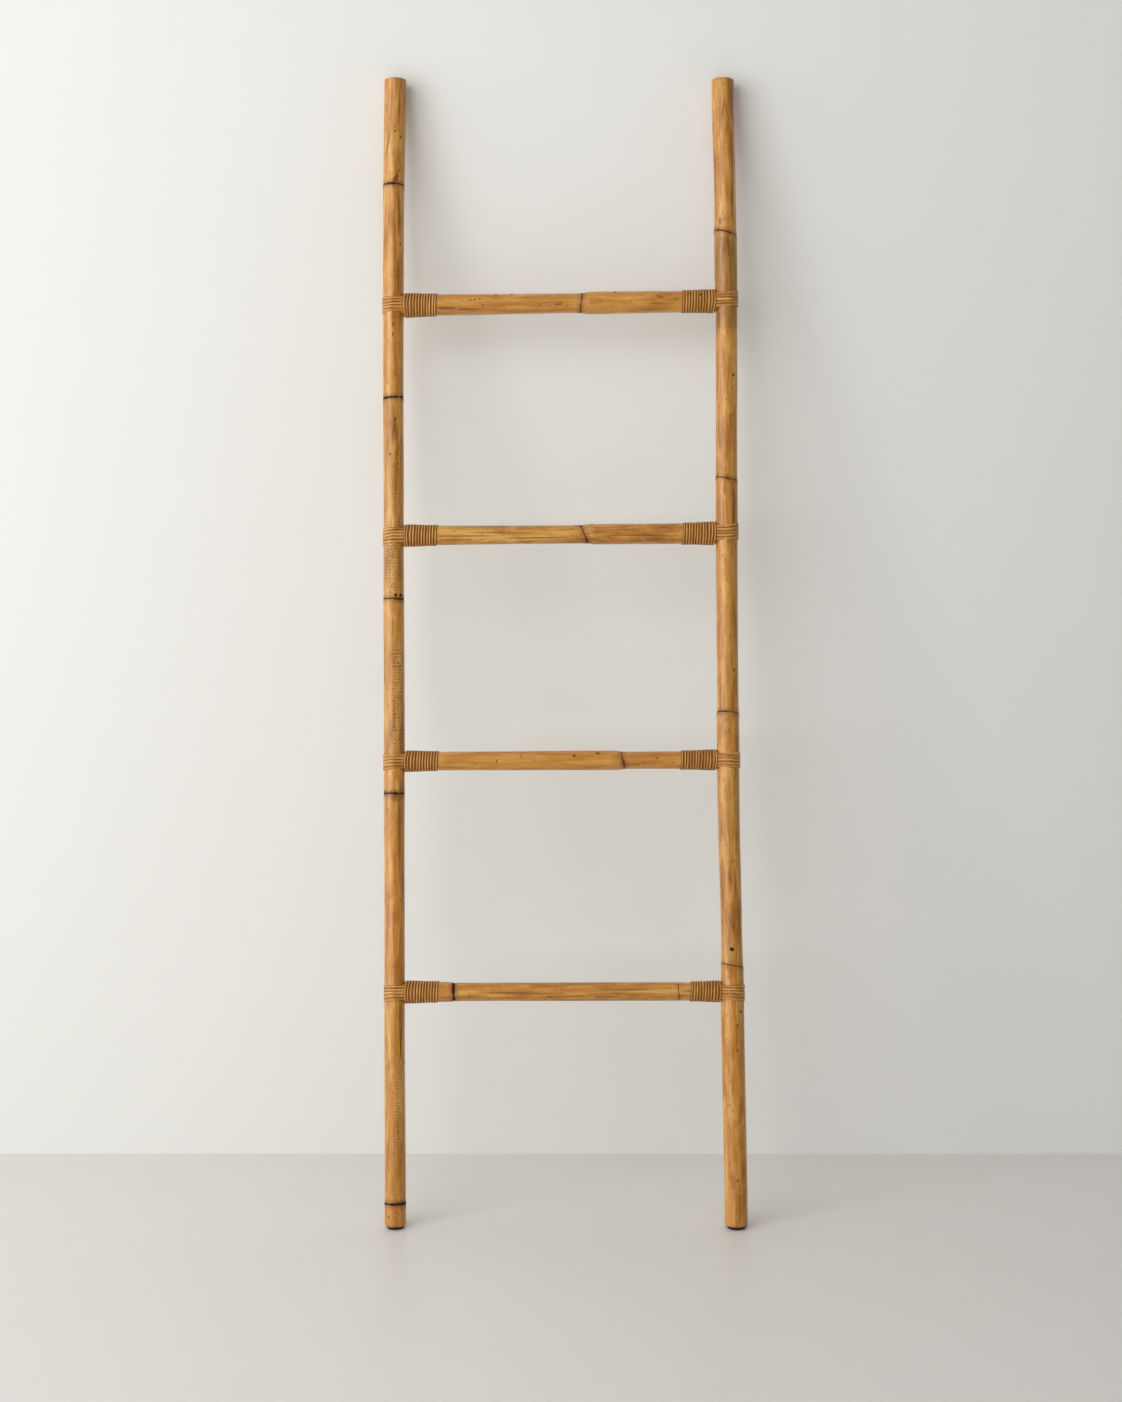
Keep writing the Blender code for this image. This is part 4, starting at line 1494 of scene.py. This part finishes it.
def make_poles() -> dict[Side, Pole]:
    """Describes the two poles.

    Returns:
        The poles by side.
    """
    left_nodes = [
        Node(0.0345, slope=0.0004, bow=-0.0012, line=0.0011, ink=1.0, ledge=0.0009),
        Node(0.6670, line=0.0011, ink=1.0, teeth=0.0042, ledge=0.0004),
        Node(0.9709, slope=-0.0004, line=0.0009, ink=0.9),
        Node(1.2873, slope=0.0011, line=0.0014, ink=1.0),
        Node(1.6250, slope=-0.0004, line=0.0013, ink=1.0, ledge=0.0008),
    ]
    right_nodes = [
        Node(0.4007, slope=-0.0034, line=0.0006, ink=0.55, ledge=0.0012, reach=0.018),
        Node(0.7910, slope=-0.0016, bow=0.0036, line=0.0007, ink=0.75, ledge=0.0009),
        Node(1.1595, slope=-0.0034, line=0.0007, ink=0.7, ledge=0.0009),
        Node(1.5486, slope=-0.0047, line=0.0008, ink=0.85, ledge=0.0012),
    ]
    left_marks = [
        Mark(1.6855, -0.0100, 0.0200, 0.00050, 14, 0.75),
        Mark(1.6310, 0.0035, 0.0045, 0.0030, 0, 0.65),
        Mark(1.6370, 0.0060, 0.0040, 0.0022, 20, 0.60),
        Mark(1.5760, 0.0095, 0.0330, 0.0013, 0, 0.40),
        Mark(1.5450, 0.0040, 0.0200, 0.0009, 0, 0.35),
        Mark(1.4800, 0.0090, 0.0260, 0.0014, 0, 0.35),
        Mark(1.7500, 0.0080, 0.0260, 0.0010, 0, 0.35),
        Mark(0.6610, 0.0040, 0.0070, 0.0080, 0, 0.30),
        Mark(0.6100, 0.0085, 0.0500, 0.0016, 0, 0.30),
        Mark(1.7280, -0.0070, 0.0030, 0.0007, 0, 0.6),
        Mark(1.7080, 0.0020, 0.0016, 0.0012, 0, 0.9),
        Mark(1.6990, 0.0110, 0.0014, 0.0012, 0, 0.9),
        Mark(1.6460, 0.0085, 0.0030, 0.0009, 20, 0.8),
        Mark(1.5300, 0.0115, 0.0016, 0.0010, 0, 0.8),
        Mark(1.4020, 0.0010, 0.0030, 0.0009, 0, 0.9),
        Mark(1.3860, 0.0010, 0.0034, 0.0009, 0, 0.9),
        Mark(1.2525, 0.0040, 0.0024, 0.0012, 0, 0.8),
        Mark(1.1973, -0.0040, 0.0018, 0.0013, 0, 0.8),
        Mark(1.1832, 0.0075, 0.0018, 0.0010, 0, 0.6),
        Mark(1.1784, 0.0010, 0.0018, 0.0010, 0, 0.6),
        Mark(0.9765, 0.0042, 0.0024, 0.0018, 0, 1.0),
        Mark(0.9765, 0.0118, 0.0024, 0.0016, 0, 1.0),
        Mark(0.9200, -0.0012, 0.0180, 0.0006, 3, 0.55),
        Mark(0.2810, 0.0105, 0.0260, 0.00055, 3, 0.95),
        Mark(0.1120, 0.0060, 0.0380, 0.00040, 0, 0.45),
        Mark(0.0140, -0.0090, 0.0022, 0.0010, 0, 0.7),
    ]
    right_marks = [
        Mark(0.4258, -0.0012, 0.0029, 0.0028, 0, 1.0),
        Mark(0.3295, 0.0120, 0.0018, 0.0013, 0, 0.9),
        Mark(0.3080, 0.0065, 0.0030, 0.0010, 8, 0.7),
        Mark(1.3220, 0.0100, 0.0021, 0.0015, 0, 0.9),
        Mark(1.5640, -0.0095, 0.0060, 0.0018, 0, 0.55),
        Mark(1.7600, 0.0125, 0.0300, 0.0014, 0, 0.65),
        Mark(1.7420, -0.0020, 0.0180, 0.0007, 14, 0.45),
        Mark(1.7420, 0.0040, 0.0180, 0.0007, -14, 0.45),
        Mark(1.6550, 0.0110, 0.0400, 0.0014, 0, 0.40),
        Mark(1.5980, 0.0095, 0.0200, 0.0012, 0, 0.45),
        Mark(1.1150, 0.0100, 0.0300, 0.0018, 0, 0.45),
        Mark(1.1420, -0.0040, 0.0090, 0.0020, 0, 0.40),
        Mark(0.8590, 0.0090, 0.0022, 0.0011, 0, 0.8),
        Mark(0.2700, 0.0060, 0.0016, 0.0011, 0, 0.8),
        Mark(0.0700, 0.0020, 0.0016, 0.0013, 0, 0.9),
    ]
    ripples = [
        Ripples(0.976, 1.100, -0.0150, 0.0165, 0.0046),
        Ripples(1.119, 1.150, -0.0060, 0.0100, 0.0050),
        Ripples(0.733, 0.905, -0.0030, 0.0165, 0.0050),
        Ripples(0.112, 0.250, 0.0005, 0.0120, 0.0046),
    ]
    left = Pole(
        Side.LEFT, 0.0163,
        bends=[(0.0, 0.0055), (0.2, 0.0033), (0.4, 0.0017), (0.6, -0.0003), (0.75, -0.0019), (0.87, -0.0022),
               (1.0, 0.0)],
        swells=[(0.0, 0.0003), (0.04, -0.0001), (0.28, -0.0005), (0.38, 0.0001), (0.54, 0.0), (0.61, -0.0004),
                (0.72, -0.0001), (0.86, 0.0003), (1.0, 0.0011)],
        nodes=left_nodes,
        finish=RattanFinish(
            "rattan of the left pole", seed=1.0, radius=0.0163, nodes=left_nodes, marks=left_marks,
            ripples=ripples, stretches=[
                Stretch(0.34, 0.66, (0.92, 0.78, 0.60), 0.55, 0.03),
                Stretch(1.30, 1.62, (0.93, 0.80, 0.62), 0.5, 0.03),
                Stretch(-0.02, 0.033, (0.85, 0.62, 0.40), 0.5, 0.004),
                # painted shade along the foot's bottom edge, where it meets the floor
                Stretch(-0.03, 0.0012, (0.28, 0.18, 0.10), 0.9, 0.0032),
            ]))
    right = Pole(
        Side.RIGHT, 0.0174,
        bends=[(0.0, 0.0094), (0.2, 0.0046), (0.4, -0.0010), (0.6, -0.0022), (0.78, -0.0014), (0.87, -0.0027),
               (1.0, -0.0061)],
        swells=[(0.0, 0.0005), (0.19, 0.0008), (0.25, -0.0010), (0.32, -0.0005), (0.42, 0.0004), (0.46, -0.0006),
                (0.57, -0.0005), (0.61, 0.0002), (0.67, -0.0006), (0.78, -0.0003), (0.85, 0.0008), (0.88, -0.0003),
                (1.0, 0.0003)],
        nodes=right_nodes,
        finish=RattanFinish(
            "rattan of the right pole", seed=2.4, radius=0.0174, nodes=right_nodes, marks=right_marks, pits=0.62,
            blotches=0.4, stretches=[
                Stretch(1.39, 1.547, (0.62, 0.62, 0.55), 0.85, 0.012),
                Stretch(1.02, 1.159, (0.90, 0.84, 0.72), 0.5, 0.02),
                Stretch(0.34, 0.400, (0.92, 0.80, 0.66), 0.5, 0.01),
                # painted shade along the foot's bottom edge, where it meets the floor
                Stretch(-0.03, 0.0012, (0.28, 0.18, 0.10), 0.9, 0.0032),
            ]))
    return {Side.LEFT: left, Side.RIGHT: right}


def make_rungs() -> list[Rung]:
    """Describes the four rungs, bottom to top.

    Returns:
        The rungs.
    """
    left, right = Side.LEFT, Side.RIGHT
    return [
        Rung(1, 0.3590, 0.0011, 0.0156, 0.0145, [(0.176, 0.0156, 0.0143), (0.841, 0.0145, 0.0142)],
             [Node(0, slope=0.0005, line=0.0012, ink=1.0, groove=0.0012), Node(0, line=0.0008, ink=0.35, slope=0.0012)],
             RattanFinish("rattan of rung 1", seed=5.1, radius=0.0148, blotches=0.6, pits=0.75, streaks=1.0, marks=[
                 Mark(0.200, 0.0010, 0.050, 0.0009, 1, 0.40), Mark(0.360, -0.0040, 0.045, 0.0009, -1, 0.40),
                 Mark(0.270, 0.0060, 0.040, 0.0010, 0, 0.35), Mark(0.330, 0.0070, 0.020, 0.0012, 0, 0.40)]),
             {left: 12, right: 11}),
        Rung(2, 0.7184, 0.0023, 0.0145, 0.0141, [(0.685, 0.0153, 0.0135)],
             [Node(0, slope=0.0031, line=0.0006, ink=0.9)],
             RattanFinish("rattan of rung 2", seed=6.3, radius=0.0145, blotches=0.2, pits=0.85, streaks=0.75, marks=[
                 Mark(0.2810, -0.0070, 0.0026, 0.0014, 0, 0.9), Mark(0.3180, -0.0105, 0.0026, 0.0012, 0, 0.9),
                 Mark(0.1600, 0.0020, 0.0014, 0.0010, 0, 0.9), Mark(0.4100, -0.0030, 0.0014, 0.0010, 0, 0.9)]),
             {left: 12, right: 13}),
        Rung(3, 1.0728, 0.0039, 0.0154, 0.0162, [(0.572, 0.0142, 0.0160)],
             [Node(0, slope=0.0054, line=0.0008, ink=1.0)],
             RattanFinish("rattan of rung 3", seed=7.7, radius=0.0152, blotches=0.6, pits=0.6, streaks=1.3, marks=[
                 Mark(0.2900, -0.0125, 0.0017, 0.0012, 0, 1.0), Mark(0.2965, -0.0118, 0.0017, 0.0012, 0, 1.0),
                 Mark(0.1100, 0.0030, 0.045, 0.0008, 0, 0.50), Mark(0.1700, -0.0020, 0.055, 0.0007, 1, 0.45),
                 Mark(0.2250, 0.0065, 0.050, 0.0008, 0, 0.50), Mark(0.3900, 0.0040, 0.055, 0.0008, 0, 0.45),
                 Mark(0.3500, -0.0050, 0.040, 0.0007, -1, 0.40)]),
             {left: 12, right: 12}),
        Rung(4, 1.4383, 0.0074, 0.0169, 0.0163, [(0.565, 0.0154, 0.0177)],
             [Node(0, slope=-0.0023, line=0.0006, ink=0.8)],
             RattanFinish("rattan of rung 4", seed=8.2, radius=0.0165, blotches=0.3, pits=0.6, streaks=0.75, marks=[
                 Mark(0.1215, -0.0045, 0.0015, 0.0009, 0, 0.9), Mark(0.1290, -0.0045, 0.0013, 0.0009, 0, 0.9),
                 Mark(0.1370, -0.0055, 0.0018, 0.0010, 0, 0.9), Mark(0.1410, 0.0040, 0.0014, 0.0010, 0, 0.9),
                 Mark(0.1620, -0.0125, 0.0018, 0.0009, 0, 0.9), Mark(0.1865, -0.0135, 0.0024, 0.0009, 0, 0.9),
                 Mark(0.2300, 0.0040, 0.0016, 0.0010, 0, 0.8), Mark(0.3490, -0.0140, 0.0018, 0.0010, 0, 0.9),
                 Mark(0.0850, 0.0080, 0.0130, 0.0018, 0, 0.50), Mark(0.1200, 0.0100, 0.0180, 0.0012, 0, 0.40),
                 Mark(0.2590, 0.0048, 0.0060, 0.0012, 0, 0.50), Mark(0.4190, -0.0050, 0.0060, 0.0022, 15, 0.45),
                 Mark(0.4150, 0.0050, 0.0130, 0.0010, 0, 0.40)]),
             {left: 12, right: 12}),
    ]


def make_joints(poles: dict[Side, Pole], rungs: Sequence[Rung], strand: Strand) -> list[Joint]:
    """Describes the eight joints.

    Args:
        poles: the poles.
        rungs: the rungs.
        strand: the cane that binds them.

    Returns:
        The joints.
    """
    drifts = {Side.LEFT: (-0.0023, -0.0019, -0.0024, 0.0), Side.RIGHT: (-0.0025, -0.0010, 0.0033, 0.0030)}
    return [Joint(rung, side, pole, strand, drift=drifts[side][rung.number - 1])
            for rung in rungs for side, pole in poles.items()]


def dress_screws() -> None:
    """Gives the screws inside the joints their plated finish."""
    zinc = MetalFinish("zinc plate", (0.62, 0.61, 0.58), (0.40, 0.39, 0.36), 0.28).make()
    for name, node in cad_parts.items():
        if name.startswith("screw_"):
            node.data.materials.clear()
            node.data.materials.append(zinc)
            log.info("%s: refinished", name)


def main() -> None:
    """Builds the ladder and its studio."""
    logging.basicConfig(level=logging.INFO, format="%(name)s: %(message)s")
    sawn = EndGrainFinish("sawn rattan").make()
    rubber = RubberFinish("black rubber").make()
    strand = Strand()
    winding = CaneFinish("winding cane", strand.width).make()
    # The strap's strands get a warmer painted gap shade, starting further out from their middles.
    strap = CaneFinish("strap cane", strand.width * 1.2, (0.29, 0.098, 0.008), 0.27).make()
    blued = MetalFinish("blued steel", (0.10, 0.065, 0.04), (0.20, 0.13, 0.09), 0.38).make()
    poles = make_poles()
    for pole in poles.values():
        pole.build(sawn, rubber)
    rungs = make_rungs()
    for rung in rungs:
        rung.measure(poles)
        rung.build(poles)
    joints = make_joints(poles, rungs, strand)
    short, long = strand.pattern("strap_pattern", (79,)), strand.pattern("winding_pattern", (100, 2))
    for joint in joints:
        joint.build_strap(short, strap)
        joint.build_binding(long, winding)
    Bench.discard(short)
    Bench.discard(long)
    Tacks().build(joints, blued)
    dress_screws()
    Studio().build()


if __name__ == "__main__":
    main()
